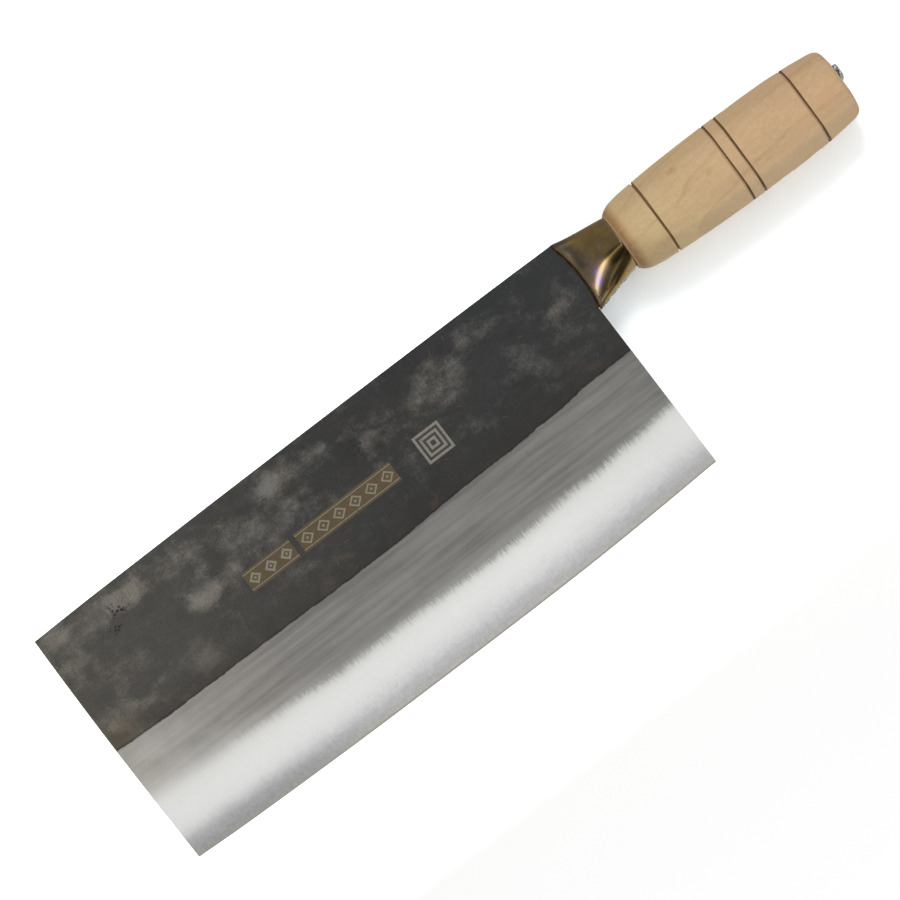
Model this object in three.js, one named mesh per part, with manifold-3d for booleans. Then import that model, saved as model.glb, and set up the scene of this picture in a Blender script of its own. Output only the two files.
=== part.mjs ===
// Chinese-pattern cleaver with a rectangular blade, a pressed steel collar and a turned wooden grip.
//
// Frame: millimetres. +X runs from the blade's square tip to the butt of the grip, +Z points up to the
// spine with the cutting edge down, and +Y is the right-hand side of the blade for someone holding the
// grip and looking at the tip. The origin is under the middle of the overall length, level with the
// lowest point of the cutting edge, in the mid-plane of the blade.
//
// Build: a three-layer plate (hard core between two soft iron claddings) with a stub tab at the heel,
// a tang rod butt-welded to the tab, a pressed collar wrapped round the joint, welded along its lower
// seam and brazed to both faces of the blade, and a wooden grip burnt on to the tang, whose end is
// hammered over at the butt.

import * as THREE from "three";
import { mergeVertices } from "three/addons/utils/BufferGeometryUtils.js";
import Module from "manifold-3d";

const wasm = await Module();
wasm.setup();

const { clamp, degToRad, smoothstep } = THREE.MathUtils;

// ---------------------------------------------------------------- materials
const IRON = { color: "#45443f", roughness: 0.55, metalness: 0.85 };
const BRIGHT = { color: "#c9cac8", roughness: 0.3, metalness: 1.0 };
const BRONZED = { color: "#6f5c3a", roughness: 0.3, metalness: 1.0 };
const WOOD = { color: "#c6a77e", roughness: 0.65, metalness: 0.0 };

// ---------------------------------------------------------------- driving dimensions
const BLADE = {
  tipX: -168.0, // square tip, at the corners
  tipBulge: 0.55, // the tip edge is very slightly proud at mid height
  tipBulgeFade: 6, // power by which the bulge dies away towards the heel
  midZ: 48,
  heelX: 53.95, // straight heel
  halfHeel: 1.1, // half thickness of the plate at the heel
  halfTip: 0.95, // half thickness of the plate at the tip
  spineChamfer: 0.25, // broken corners along the spine
  coreHalf: 0.32, // half thickness of the hard core layer
  edgeHalf: 0.02, // half width left at the very edge
  microHeight: 0.7, // height of the honed micro bevel
  microHalf: 0.17, // half thickness at the top of the micro bevel
  grindHalf: 0.7, // half thickness where the edge bevel begins
  bevelConvexity: 0.38, // share of the bevel's rise that is curved, the rest being straight
  scaleStep: 0.05, // relief ground below the forge-scale line, per side
  scaleStepHeight: 0.35, // height over which that relief runs out
};
const BLADE_STEPS = { length: 26, bevel: 7, ground: 3, scale: 4 };

// Lines along the blade as (x, z) points, tip to heel
const EDGE_LINE = [
  [-168.6, 2.4], [-150, 1.53], [-133, 1.05], [-116, 0.68], [-99, 0.37], [-82, 0.2], [-65, 0.1],
  [-48, 0.03], [-31, 0.0], [-14, 0.07], [3, 0.31], [20, 0.76], [37, 1.4], [54, 2.16],
];
const SPINE_LINE = [
  [-168.6, 94.76], [-150, 95.16], [-133, 95.32], [-99, 95.52], [-65, 95.6], [-31, 95.57],
  [3, 95.44], [37, 95.18], [54, 94.93],
];
// lower limit of the black forge scale
const SCALE_LINE = [
  [-168.6, 47.3], [-150, 46.9], [-116, 46.6], [-80, 46.4], [-48, 46.3], [-31, 46.9], [3, 47.7],
  [37, 49.4], [54, 50.0],
];
// upper limit of the edge bevel
const BEVEL_LINE = [
  [-168.6, 29.5], [-150, 28.2], [-116, 25.2], [-80, 23.2], [-31, 22.6], [3, 23.2], [37, 25.0],
  [54, 26.8],
];

// stub tab at the heel, inside the collar: nearly upright to the shoulder, then tapering to its end
const TAB = {
  startX: 52.9,
  shoulderX: 55.8,
  endX: 64.0,
  startTop: 93.1,
  startBottom: 68.6,
  shoulderInset: 0.3, // how far the shoulders have come in from the start, top and bottom
  endTop: 86.6,
  endBottom: 76.4,
};

const COLLAR = {
  wall: 1.1, // sheet thickness
  mouthGap: 0.3, // gap between the blade and the collar's mouth
  mouthTop: { x: 53.5, z: 95.1 }, // outer corners of the flattened mouth
  mouthBottom: { x: 54.4, z: 66.85 },
  mouthBow: 1.85, // how far the mouth edge is bowed back at mid height
  mouthHalf: 2.5, // half thickness over the flattened mouth
  mouthCorner: 2.0, // corner radius of the flattened mouth
  rearX: 73.12,
  rearRadius: 10.05,
  sideAngle: 64, // degrees from +Y round the rear circle, matching the end of the mouth's flat side
  cornerAngle: 86, // the same for the end of the mouth's corner
  flare: 0.13,
  boreOverrun: 0.6, // how far the bore is cut past both ends
};
const COLLAR_STEPS = { side: 9, corner: 5, length: 10 };

const SEAM = {
  gap: 1.0, // open seam along the underside, before welding
  clearance: 0.04, // left between the weld and each side of the gap
  proud: 0.22, // weld outside the collar's surface
  endSetback: 0.25, // weld short of the collar's two ends
  sink: 0.1, // weld standing into the bore
  axisDrop: 2, // top of the seam's cutting box below the grip axis
};

const BRAZE = {
  steps: 22,
  endSetback: 1.9, // from the mouth's top and bottom corners
  overlap: 0.05, // start in front of the mouth edge
  lift: 0.03, // base off the blade's face
  endSize: 0.25, // section scale at the ends
  fullness: 0.35, // power that keeps the fillet full until near its ends
};
// fillet section as (x from the mouth edge, height off the blade's face)
const BRAZE_SECTION = [
  [0, 0], [0, 0.95], [-0.28, 0.78], [-0.55, 0.52], [-0.85, 0.24], [-1.1, 0],
];

// grip axis: starts just behind the collar's rear and droops slightly towards the butt
const GRIP_X = 73.4;
const GRIP_Z = 81.63;
const GRIP_DROOP = 0.0164; // radians

// (distance along the grip axis, half depth in Z of the wood)
const GRIP_PROFILE = [
  [0, 10.8], [0.68, 11.45], [1.7, 12.15], [3.74, 13.04], [7.8, 13.8], [11.2, 14.16], [18, 14.6],
  [24.8, 14.96], [31.6, 15.18], [38.4, 15.32], [45.2, 15.4], [58.8, 15.4], [65.6, 15.3],
  [72.4, 15.1], [79.2, 14.68], [86, 13.97], [88.4, 13.68], [89.9, 13.4], [91.0, 12.95],
  [91.8, 12.3], [92.4, 11.2], [92.8, 9.6], [93.15, 6.8], [93.4, 1.6],
];
const GRIP = {
  around: 48, // points round each ring
  offsetZ: -0.4, // the wood's centre line sits this far below the tang's
  frontFlatten: 0.965, // thickness (Y) over depth (Z) at the front face
  flatten: 0.87, // the same in the faceted length
  flattenEnd: 22, // distance at which the flattening is complete
  facetStart: 6, // distances over which the oval turns into facets
  facetEnd: 18,
  chamfer: 1.05, // distance of the long chamfers from the centre, over the half depth
  chamferAngle: degToRad(51), // from the flat side's normal to the chamfer's
  crown: 0.05, // how much the flat sides fall away towards the chamfers
  topCrown: 0.6, // crown of top and underside, over that of the sides
  facetSharpness: 26, // power blending the facets: higher gives crisper corners
};
const GROOVE = {
  places: [14.55, 45.15, 50.1, 77.6], // distances of the turned rings from the front face
  half: 0.5, // half width at the surface
  floor: 0.35, // floor width over surface width
  reach: 0.5, // stations nearer than this share of the half width are cut
  depth: 0.8,
};

// tang: a tapered square rod, bent over and hammered flat at the butt
const TANG = {
  root: -9.0, // start, measured along the grip axis from the grip's front face
  halfRoot: 2.6,
  halfButt: 1.9,
  stations: [0, 20, 45, 70], // rings between the two ends
  chamfer: 0.35, // broken corners
  fit: 0.3, // clearance of the burnt hole round the rod
};
const CLENCH_OUT = 95.16; // outer face of the bent arm, along the grip axis
const CLENCH_THICK = 2.3;
const ROD_END = CLENCH_OUT - CLENCH_THICK * 0.6;
// the arm from the bend up to its cut end: height above the axis, inner and outer face measured from
// CLENCH_OUT, half width
const CLENCH_SECTIONS = [
  [-1.95, -2.9, -1.45, 1.5], [-1.55, -3.1, -0.6, 1.8], [-0.7, -3.1, -0.1, 2.05],
  [0.6, -2.8, 0, 2.25], [2.4, -2.4, -0.04, 2.4], [4.2, -2.3, -0.12, 2.4],
  [5.15, -2.25, -0.4, 2.1],
];

// lump round the butt joint
const WELD = {
  segments: 32,
  slotClearance: 0.3, // round the tab's faces
  slotEnd: 0.2, // slot stops this far before the rod's end
  socketClearance: 0.25, // round the rod
  socketStart: 0.3, // socket begins this far before the rod's end
};
// (radius, distance along the grip axis from the rod's end)
const WELD_PROFILE = [
  [0, -2.2], [2.7, -2.2], [3.75, -1.1], [5.0, 0.4], [5.0, 1.3], [4.5, 2.6], [0, 2.6],
];

// ---------------------------------------------------------------- helpers
const lerp = (a, b, t) => a + (b - a) * t;

// Smooth curve (cubic Hermite) through a table of (x, y) points, held level beyond its ends
function curveThrough(points) {
  const last = points.length - 1;
  const slope = (j) => {
    const before = points[Math.max(0, j - 1)];
    const after = points[Math.min(last, j + 1)];
    return (after[1] - before[1]) / (after[0] - before[0]);
  };
  return (x) => {
    if (x <= points[0][0]) return points[0][1];
    if (x >= points[last][0]) return points[last][1];
    let i = 0;
    while (points[i + 1][0] < x) i++;
    const [x0, y0] = points[i];
    const [x1, y1] = points[i + 1];
    const span = x1 - x0;
    const t = (x - x0) / span;
    return (
      (2 * t ** 3 - 3 * t * t + 1) * y0 +
      (t ** 3 - 2 * t * t + t) * slope(i) * span +
      (3 * t * t - 2 * t ** 3) * y1 +
      (t ** 3 - t * t) * slope(i + 1) * span
    );
  };
}

// A closed solid through rings of equally many points. Each end is closed by a fan or, where the
// section is long and thin, by a ladder of rungs between its two sides: rung j joins point j to point
// n - j - ladder, so ladder is 0 for a ring that starts on a pole and 1 for one that starts beside it.
function loft(rings, ladder = null) {
  const n = rings[0].length;
  const position = rings.flat().flatMap((p) => [p.x, p.y, p.z]);
  const index = [];
  for (let i = 0; i + 1 < rings.length; i++) {
    for (let j = 0; j < n; j++) {
      const a = i * n + j;
      const b = i * n + ((j + 1) % n);
      index.push(a, a + n, b, b, a + n, b + n);
    }
  }
  const closeEnd = (ring, first, flip) => {
    const triangle = (a, b, c) => {
      if (a === b || b === c || a === c) return;
      index.push(...(flip ? [a, c, b] : [a, b, c]));
    };
    if (ladder !== null) {
      for (let j = 0; j + 1 <= (n - ladder) / 2; j++) {
        const near = first + j;
        const far = first + ((n - ladder - j) % n);
        const nextFar = first + ((n - ladder - j - 1) % n);
        triangle(near, near + 1, nextFar);
        triangle(near, nextFar, far);
      }
      return;
    }
    const centre = new THREE.Vector3();
    ring.forEach((p) => centre.add(p));
    centre.divideScalar(n);
    const middle = position.length / 3;
    position.push(centre.x, centre.y, centre.z);
    for (let j = 0; j < n; j++) triangle(middle, first + j, first + ((j + 1) % n));
  };
  closeEnd(rings[0], 0, false);
  closeEnd(rings.at(-1), (rings.length - 1) * n, true);
  const geometry = new THREE.BufferGeometry()
    .setAttribute("position", new THREE.Float32BufferAttribute(position, 3))
    .setIndex(index);
  return solid(geometry);
}

// three.js geometry to a solid, turned the right way out if its faces point inwards
function solid(geometry) {
  geometry.deleteAttribute("normal");
  geometry.deleteAttribute("uv");
  const merged = mergeVertices(geometry, 1e-4);
  const triVerts = new Uint32Array(merged.index.array);
  const vertProperties = merged.attributes.position.array;
  const make = () => new wasm.Manifold(new wasm.Mesh({ numProp: 3, vertProperties, triVerts }));
  const made = make();
  if (made.volume() > 0) return made;
  for (let i = 0; i < triVerts.length; i += 3) {
    [triVerts[i + 1], triVerts[i + 2]] = [triVerts[i + 2], triVerts[i + 1]];
  }
  return make();
}

function box([x0, x1], [y0, y1], [z0, z1]) {
  const geometry = new THREE.BoxGeometry(x1 - x0, y1 - y0, z1 - z0);
  return solid(geometry.translate((x0 + x1) / 2, (y0 + y1) / 2, (z0 + z1) / 2));
}

// A named mesh from a solid, which carries positions only
function piece(name, made, finish) {
  const { vertProperties, triVerts } = made.getMesh();
  const geometry = new THREE.BufferGeometry()
    .setAttribute("position", new THREE.BufferAttribute(vertProperties, 3))
    .setIndex(new THREE.BufferAttribute(triVerts, 1));
  geometry.computeVertexNormals();
  const mesh = new THREE.Mesh(geometry, new THREE.MeshStandardMaterial(finish));
  mesh.name = name;
  return mesh;
}

// ---------------------------------------------------------------- blade
const edgeZ = curveThrough(EDGE_LINE);
const spineZ = curveThrough(SPINE_LINE);
const scaleZ = curveThrough(SCALE_LINE);
const bevelZ = curveThrough(BEVEL_LINE);

// One side of the blade's section at x, from the edge up, as (z, half thickness)
function bladeSection(x) {
  const along = clamp((x - BLADE.tipX) / (BLADE.heelX - BLADE.tipX), 0, 1);
  const half = lerp(BLADE.halfTip, BLADE.halfHeel, along);
  const edge = edgeZ(x);
  const micro = edge + BLADE.microHeight;
  const bevel = bevelZ(x);
  const scale = scaleZ(x);
  const spine = spineZ(x);
  const points = [[edge, BLADE.edgeHalf], [micro, BLADE.microHalf]];
  for (let i = 1; i <= BLADE_STEPS.bevel; i++) {
    // convex edge bevel: its face is flared most at the edge
    const t = i / BLADE_STEPS.bevel;
    const curved = 1 - (1 - t) ** 2;
    const rise = (1 - BLADE.bevelConvexity) * t + BLADE.bevelConvexity * curved;
    points.push([
      lerp(micro, bevel, t),
      BLADE.microHalf + (BLADE.grindHalf - BLADE.microHalf) * rise,
    ]);
  }
  for (let i = 1; i <= BLADE_STEPS.ground; i++) {
    const t = i / BLADE_STEPS.ground;
    points.push([
      lerp(bevel, scale - BLADE.scaleStepHeight, t),
      lerp(BLADE.grindHalf, half - BLADE.scaleStep, t),
    ]);
  }
  for (let i = 0; i <= BLADE_STEPS.scale; i++) {
    points.push([lerp(scale, spine - BLADE.spineChamfer, i / BLADE_STEPS.scale), half]);
  }
  points.push([spine, half - BLADE.spineChamfer]);
  return points;
}

function bladeBody() {
  const rings = [];
  for (let i = 0; i <= BLADE_STEPS.length; i++) {
    const along = i / BLADE_STEPS.length;
    const x = lerp(BLADE.tipX, BLADE.heelX, along);
    const points = bladeSection(x);
    const place = ([z, half], side) => {
      const bow = 1 - ((z - BLADE.midZ) / BLADE.midZ) ** 2;
      const bulge = BLADE.tipBulge * bow * (1 - along) ** BLADE.tipBulgeFade;
      return new THREE.Vector3(x - bulge, side * half, z);
    };
    rings.push([
      ...points.map((p) => place(p, -1)),
      ...points.toReversed().map((p) => place(p, 1)),
    ]);
  }
  return loft(rings, 1);
}

function stubTab() {
  const outline = [
    [TAB.startX, TAB.startBottom],
    [TAB.shoulderX, TAB.startBottom + TAB.shoulderInset],
    [TAB.endX, TAB.endBottom],
    [TAB.endX, TAB.endTop],
    [TAB.shoulderX, TAB.startTop - TAB.shoulderInset],
    [TAB.startX, TAB.startTop],
  ];
  const shape = new THREE.Shape(outline.map(([x, z]) => new THREE.Vector2(x, z)));
  const settings = { depth: 2 * BLADE.halfHeel, bevelEnabled: false };
  const geometry = new THREE.ExtrudeGeometry(shape, settings);
  return solid(geometry.rotateX(Math.PI / 2).translate(0, BLADE.halfHeel, 0));
}

function buildBlade() {
  // the plate is notched round the collar's mouth
  const notch = collarForm(-COLLAR.mouthGap, COLLAR.mouthGap);
  const plate = bladeBody().subtract(notch).add(stubTab());
  // the layer of the plate between two Y planes; the other bounds clear it
  const layer = (y0, y1) => plate.intersect(box([-200, 100], [y0, y1], [-10, 120]));
  const group = new THREE.Group();
  group.add(
    piece("blade_core", layer(-BLADE.coreHalf, BLADE.coreHalf), BRIGHT),
    piece("blade_cladding_left", layer(-10, -BLADE.coreHalf), IRON),
    piece("blade_cladding_right", layer(BLADE.coreHalf, 10), IRON),
  );
  return group;
}

// ---------------------------------------------------------------- collar
const MOUTH_MID_Z = (COLLAR.mouthTop.z + COLLAR.mouthBottom.z) / 2;
const MOUTH_HALF_Z = (COLLAR.mouthTop.z - COLLAR.mouthBottom.z) / 2;

// x of the bowed mouth edge at height z
function mouthX(z) {
  const q = (z - MOUTH_MID_Z) / MOUTH_HALF_Z;
  const straight = lerp(COLLAR.mouthBottom.x, COLLAR.mouthTop.x, (q + 1) / 2);
  return straight + COLLAR.mouthBow * (1 - q * q);
}

// Quarter of the mouth from +Y to the top: y, z above its middle, degrees round the rear circle
function mouthQuarter(inset) {
  const { sideAngle, cornerAngle } = COLLAR;
  const halfZ = MOUTH_HALF_Z - inset;
  const halfY = COLLAR.mouthHalf - inset;
  const radius = COLLAR.mouthCorner - inset;
  const flatZ = halfZ - radius;
  const flatY = halfY - radius;
  const points = [];
  for (let i = 0; i < COLLAR_STEPS.side; i++) {
    points.push([halfY, (flatZ * i) / COLLAR_STEPS.side, (sideAngle * i) / COLLAR_STEPS.side]);
  }
  for (let i = 0; i <= COLLAR_STEPS.corner; i++) {
    const t = i / COLLAR_STEPS.corner;
    const a = t * (Math.PI / 2);
    points.push([
      flatY + radius * Math.cos(a),
      flatZ + radius * Math.sin(a),
      lerp(sideAngle, cornerAngle, t),
    ]);
  }
  points.push([0, halfZ, 90]);
  return points;
}

// The collar's outer form, inset all round and lengthened by reach at both ends. The mouth is a
// flattened rounded rectangle whose edge is bowed back, and the rear is a circle square to the grip
// axis. Matching points are joined by nearly straight lines with a slight flare.
function collarForm(inset, reach) {
  const rearRadius = COLLAR.rearRadius - inset;
  const quarter = mouthQuarter(inset);
  const mouth = [];
  const rear = [];
  for (const [sideY, sideZ] of [[1, 1], [-1, 1], [-1, -1], [1, -1]]) {
    const run = sideY * sideZ > 0 ? quarter : quarter.toReversed();
    // each quarter gives its points but its last, which begins the next
    for (const [y, offset, turn] of run.slice(0, -1)) {
      const z = sideZ * offset + MOUTH_MID_Z;
      const rightDegrees = sideZ > 0 ? turn : 360 - turn;
      const a = degToRad(sideY > 0 ? rightDegrees : 180 - sideZ * turn);
      mouth.push(new THREE.Vector3(mouthX(z) - reach, sideY * y, z));
      rear.push(
        new THREE.Vector3(
          COLLAR.rearX + GRIP_DROOP * rearRadius * Math.sin(a) + reach,
          rearRadius * Math.cos(a),
          GRIP_Z + rearRadius * Math.sin(a),
        ),
      );
    }
  }
  // start at the top, so that the ends can be closed by rungs across the thickness
  const top = mouth.length / 4;
  const fromTop = (ring) => [...ring.slice(top), ...ring.slice(0, top)];
  const start = fromTop(mouth);
  const end = fromTop(rear);
  const rings = [];
  for (let i = 0; i <= COLLAR_STEPS.length; i++) {
    const t = i / COLLAR_STEPS.length;
    const flared = t + COLLAR.flare * Math.sin(Math.PI * t) * (1 - t);
    rings.push(
      start.map((p, j) => {
        const q = end[j];
        return new THREE.Vector3(lerp(p.x, q.x, t), lerp(p.y, q.y, t), lerp(p.z, q.z, flared));
      }),
    );
  }
  return loft(rings, 0);
}

// box through the underside of the collar, along its seam
const seamBox = (half) => box([40, 80], [-half, half], [50, GRIP_Z - SEAM.axisDrop]);

function collarShell() {
  return collarForm(0, 0)
    .subtract(collarForm(COLLAR.wall, COLLAR.boreOverrun))
    .subtract(seamBox(SEAM.gap / 2));
}

function seamWeld() {
  return collarForm(-SEAM.proud, -SEAM.endSetback)
    .subtract(collarForm(COLLAR.wall - SEAM.sink, COLLAR.boreOverrun))
    .intersect(seamBox(SEAM.gap / 2 - SEAM.clearance));
}

// braze fillet between the collar's mouth edge and one face of the blade
function braze(side) {
  const bottom = COLLAR.mouthBottom.z + BRAZE.endSetback;
  const top = COLLAR.mouthTop.z - BRAZE.endSetback;
  const base = BLADE.halfHeel + BRAZE.lift;
  const rings = [];
  for (let i = 0; i <= BRAZE.steps; i++) {
    const t = i / BRAZE.steps;
    const z = lerp(bottom, top, t);
    const x = mouthX(z) - BRAZE.overlap;
    const size = BRAZE.endSize + (1 - BRAZE.endSize) * Math.sin(Math.PI * t) ** BRAZE.fullness;
    rings.push(
      BRAZE_SECTION.map(
        ([dx, dy]) => new THREE.Vector3(x + dx * size, side * (base + dy * size), z),
      ),
    );
  }
  return loft(rings);
}

function buildCollar() {
  const group = new THREE.Group();
  group.add(
    piece("collar", collarShell(), BRONZED),
    piece("collar_seam_weld", seamWeld(), BRONZED),
    piece("collar_braze_left", braze(-1), BRONZED),
    piece("collar_braze_right", braze(1), BRONZED),
  );
  return group;
}

// ---------------------------------------------------------------- grip, modelled along its own axis
// Radius of the wood at angle a (0 at +Y, 90 degrees at +Z), at a distance along the grip
function woodRadius(a, distance, halfZ) {
  const flattening = smoothstep(distance, 0, GRIP.flattenEnd);
  const halfY = halfZ * lerp(GRIP.frontFlatten, GRIP.flatten, flattening);
  const y = Math.cos(a);
  const z = Math.sin(a);
  const oval = 1 / Math.hypot(y / halfY, z / halfZ);

  // facets as (normal y, normal z, distance from the centre)
  const side = halfY * (1 - GRIP.crown * z * z);
  const top = halfZ * (1 - GRIP.topCrown * GRIP.crown * y * y);
  const chamferY = Math.cos(GRIP.chamferAngle);
  const chamferZ = Math.sin(GRIP.chamferAngle);
  const chamfer = halfZ * GRIP.chamfer;
  const facets = [
    [1, 0, side], [-1, 0, side], [0, 1, top], [0, -1, top],
    [chamferY, chamferZ, chamfer], [-chamferY, chamferZ, chamfer],
    [chamferY, -chamferZ, chamfer], [-chamferY, -chamferZ, chamfer],
  ];
  let sum = 0;
  for (const [normalY, normalZ, reach] of facets) {
    sum += Math.max(0, (normalY * y + normalZ * z) / reach) ** GRIP.facetSharpness;
  }
  const faceted = sum ** (-1 / GRIP.facetSharpness);
  return lerp(oval, faceted, smoothstep(distance, GRIP.facetStart, GRIP.facetEnd));
}

// Distances of the wood's rings: the profile's, and four across each groove
function woodStations() {
  const stations = new Set(GRIP_PROFILE.map(([distance]) => distance));
  for (const place of GROOVE.places) {
    for (const k of [-1, -GROOVE.floor, GROOVE.floor, 1]) {
      stations.add(+(place + k * GROOVE.half).toFixed(4));
    }
  }
  return [...stations].sort((a, b) => a - b);
}

function woodBody() {
  const halfDepth = curveThrough(GRIP_PROFILE);
  const rings = woodStations().map((x) => {
    const grooved = GROOVE.places.some((g) => Math.abs(x - g) < GROOVE.reach * GROOVE.half);
    const cut = grooved ? GROOVE.depth : 0;
    return Array.from({ length: GRIP.around }, (_, j) => {
      const a = (j / GRIP.around) * 2 * Math.PI;
      const radius = woodRadius(a, x, halfDepth(x)) - cut;
      return new THREE.Vector3(x, radius * Math.cos(a), GRIP.offsetZ + radius * Math.sin(a));
    });
  });
  return loft(rings);
}

// The square rod, and the arm that its end makes once it is bent up and hammered down on the butt.
// grow widens it into the hole burnt for it.
function tangSolid(grow) {
  const cut = TANG.chamfer;
  // chamfered rectangle, half by halfWidth, whose points are set in space by place(y, other)
  const ring = (half, halfWidth, place) => {
    const h = half + grow;
    const w = halfWidth + grow;
    return [
      [w, h - cut], [w - cut, h], [-w + cut, h], [-w, h - cut],
      [-w, -h + cut], [-w + cut, -h], [w - cut, -h], [w, -h + cut],
    ].map(([y, other]) => place(y, other));
  };
  const rod = loft(
    [TANG.root - grow, ...TANG.stations, ROD_END].map((x) => {
      const half = lerp(TANG.halfRoot, TANG.halfButt, (x - TANG.root) / (ROD_END - TANG.root));
      return ring(half, half, (y, z) => new THREE.Vector3(x, y, z));
    }),
  );
  const arm = loft(
    CLENCH_SECTIONS.map(([height, inner, outer, halfWidth], i, all) => {
      const beyond = i === 0 ? -grow : i === all.length - 1 ? grow : 0;
      const middle = CLENCH_OUT + (inner + outer) / 2;
      const place = (y, dx) => new THREE.Vector3(middle + dx, y, height + beyond);
      return ring((outer - inner) / 2, halfWidth, place);
    }),
  );
  return rod.add(arm);
}

// Fillet weld round the butt joint of rod and tab: a lump slotted for the tab's end on one side and
// socketed for the rod on the other
function tangWeld() {
  const profile = WELD_PROFILE.map(([radius, along]) => new THREE.Vector2(radius, along));
  const lump = new THREE.LatheGeometry(profile, WELD.segments)
    .rotateZ(-Math.PI / 2)
    .translate(TANG.root, 0, 0);
  const slotHalf = BLADE.halfHeel + WELD.slotClearance;
  const slot = box([-40, TANG.root - WELD.slotEnd], [-slotHalf, slotHalf], [-12, 12]);
  const socketHalf = TANG.halfRoot + WELD.socketClearance;
  const across = [-socketHalf, socketHalf];
  const socket = box([TANG.root - WELD.socketStart, 20], across, across);
  return solid(lump).subtract(slot).subtract(socket);
}

function buildGrip() {
  const group = new THREE.Group();
  group.position.set(GRIP_X, 0, GRIP_Z);
  group.rotation.y = GRIP_DROOP;
  group.add(
    piece("tang", tangSolid(0), BRIGHT),
    piece("tang_weld", tangWeld(), IRON),
    piece("handle", woodBody().subtract(tangSolid(TANG.fit)), WOOD),
  );
  return group;
}

// ---------------------------------------------------------------- assembly
const cleaver = new THREE.Group();
cleaver.add(buildBlade(), buildCollar(), buildGrip());

export default cleaver;
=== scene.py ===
"""A forged cleaver standing on its cutting edge, with a rolled collar and a wooden grip.

X runs from the blade's tip end (-168) to the grip's butt. Y is the thickness, with the left
face towards -Y. Z rises from the edge (0) to the spine (95). Shapes are in millimetres; the
floor, backdrop, lights and camera are in metres.
"""

import math
from functools import cached_property

import bpy
import numpy as np
from mathutils import Matrix, Vector


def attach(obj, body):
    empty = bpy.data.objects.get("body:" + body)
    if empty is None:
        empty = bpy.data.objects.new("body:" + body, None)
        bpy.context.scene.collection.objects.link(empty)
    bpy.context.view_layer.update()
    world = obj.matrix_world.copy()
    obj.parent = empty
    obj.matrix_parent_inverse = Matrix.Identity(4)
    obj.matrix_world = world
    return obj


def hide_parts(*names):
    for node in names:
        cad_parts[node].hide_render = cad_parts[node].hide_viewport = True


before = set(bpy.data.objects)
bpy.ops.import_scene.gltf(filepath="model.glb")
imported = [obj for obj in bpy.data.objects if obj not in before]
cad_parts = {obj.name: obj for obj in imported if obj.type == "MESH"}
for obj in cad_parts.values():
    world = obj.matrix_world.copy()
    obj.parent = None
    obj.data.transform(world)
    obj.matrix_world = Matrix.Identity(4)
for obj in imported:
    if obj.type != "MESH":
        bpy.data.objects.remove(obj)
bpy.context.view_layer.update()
MM = 0.001


# ------------------------------------------------------------------ numeric helpers
def curve_through(points):
    """A smooth function through a table of (x, y) points, for arrays."""
    px, py = np.array(points, float).T
    slopes = np.empty(len(px))
    slopes[1:-1] = (py[2:] - py[:-2]) / (px[2:] - px[:-2])
    slopes[0] = (py[1] - py[0]) / (px[1] - px[0])
    slopes[-1] = (py[-1] - py[-2]) / (px[-1] - px[-2])

    def value_at(x):
        x = np.clip(np.asarray(x, float), px[0], px[-1])
        i = np.clip(np.searchsorted(px, x, side="right") - 1, 0, len(px) - 2)
        span = px[i + 1] - px[i]
        t = (x - px[i]) / span
        return (
            (2 * t**3 - 3 * t * t + 1) * py[i]
            + (t**3 - 2 * t * t + t) * slopes[i] * span
            + (3 * t * t - 2 * t**3) * py[i + 1]
            + (t**3 - t * t) * slopes[i + 1] * span
        )

    return value_at


def smoothstep(lo, hi, x):
    t = np.clip((x - lo) / (hi - lo), 0, 1)
    return t * t * (3 - 2 * t)


def lerp(a, b, t):
    return a + (b - a) * t


def noise(x, y, size_x, size_y, seed, octaves=4, gain=0.5):
    """Seeded value noise, about -1 to 1, with features size_x by size_y."""
    rng = np.random.default_rng(seed)
    x, y = np.broadcast_arrays(np.asarray(x, float), np.asarray(y, float))
    total, amplitude, norm = np.zeros(x.shape), 1.0, 0.0
    for octave in range(octaves):
        lattice = rng.random((256, 256)) * 2 - 1
        u = x / size_x * 2**octave + 37.3 * octave
        v = y / size_y * 2**octave + 11.7 * octave
        i, j = np.floor(u).astype(int), np.floor(v).astype(int)
        tu, tv = (t * t * t * (t * (t * 6 - 15) + 10) for t in (u - i, v - j))
        near = lerp(lattice[i % 256, j % 256], lattice[(i + 1) % 256, j % 256], tu)
        far = lerp(lattice[i % 256, (j + 1) % 256], lattice[(i + 1) % 256, (j + 1) % 256], tu)
        total += amplitude * lerp(near, far, tv)
        norm += amplitude
        amplitude *= gain
    return total / norm * 1.6


def mirrored(offsets):
    """Rising positive offsets, with 0 and their negatives added."""
    offsets = np.array(offsets)
    return np.concatenate([-offsets[::-1], [0.0], offsets])


def points_from(x, y, z):
    return np.stack(np.broadcast_arrays(x, y, z), -1)


# ------------------------------------------------------------------ mesh helpers
def make_object(name, points, faces, sharp_angle, attributes=None):
    """A closed object from millimetre points, its faces turned outwards."""
    mesh = bpy.data.meshes.new(name)
    points = (np.asarray(points, float) * MM).tolist()
    mesh.from_pydata(points, [], [list(map(int, face)) for face in faces])
    mesh.polygons.foreach_set("use_smooth", np.ones(len(mesh.polygons), bool))
    for key, values in (attributes or {}).items():
        attribute = mesh.attributes.new(key, "FLOAT", "POINT")
        attribute.data.foreach_set("value", np.asarray(values, np.float32))
    mesh.update()
    mesh.set_sharp_from_angle(angle=math.radians(sharp_angle))
    face_outwards(mesh)
    obj = bpy.data.objects.new(name, mesh)
    bpy.context.scene.collection.objects.link(obj)
    return obj


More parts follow.
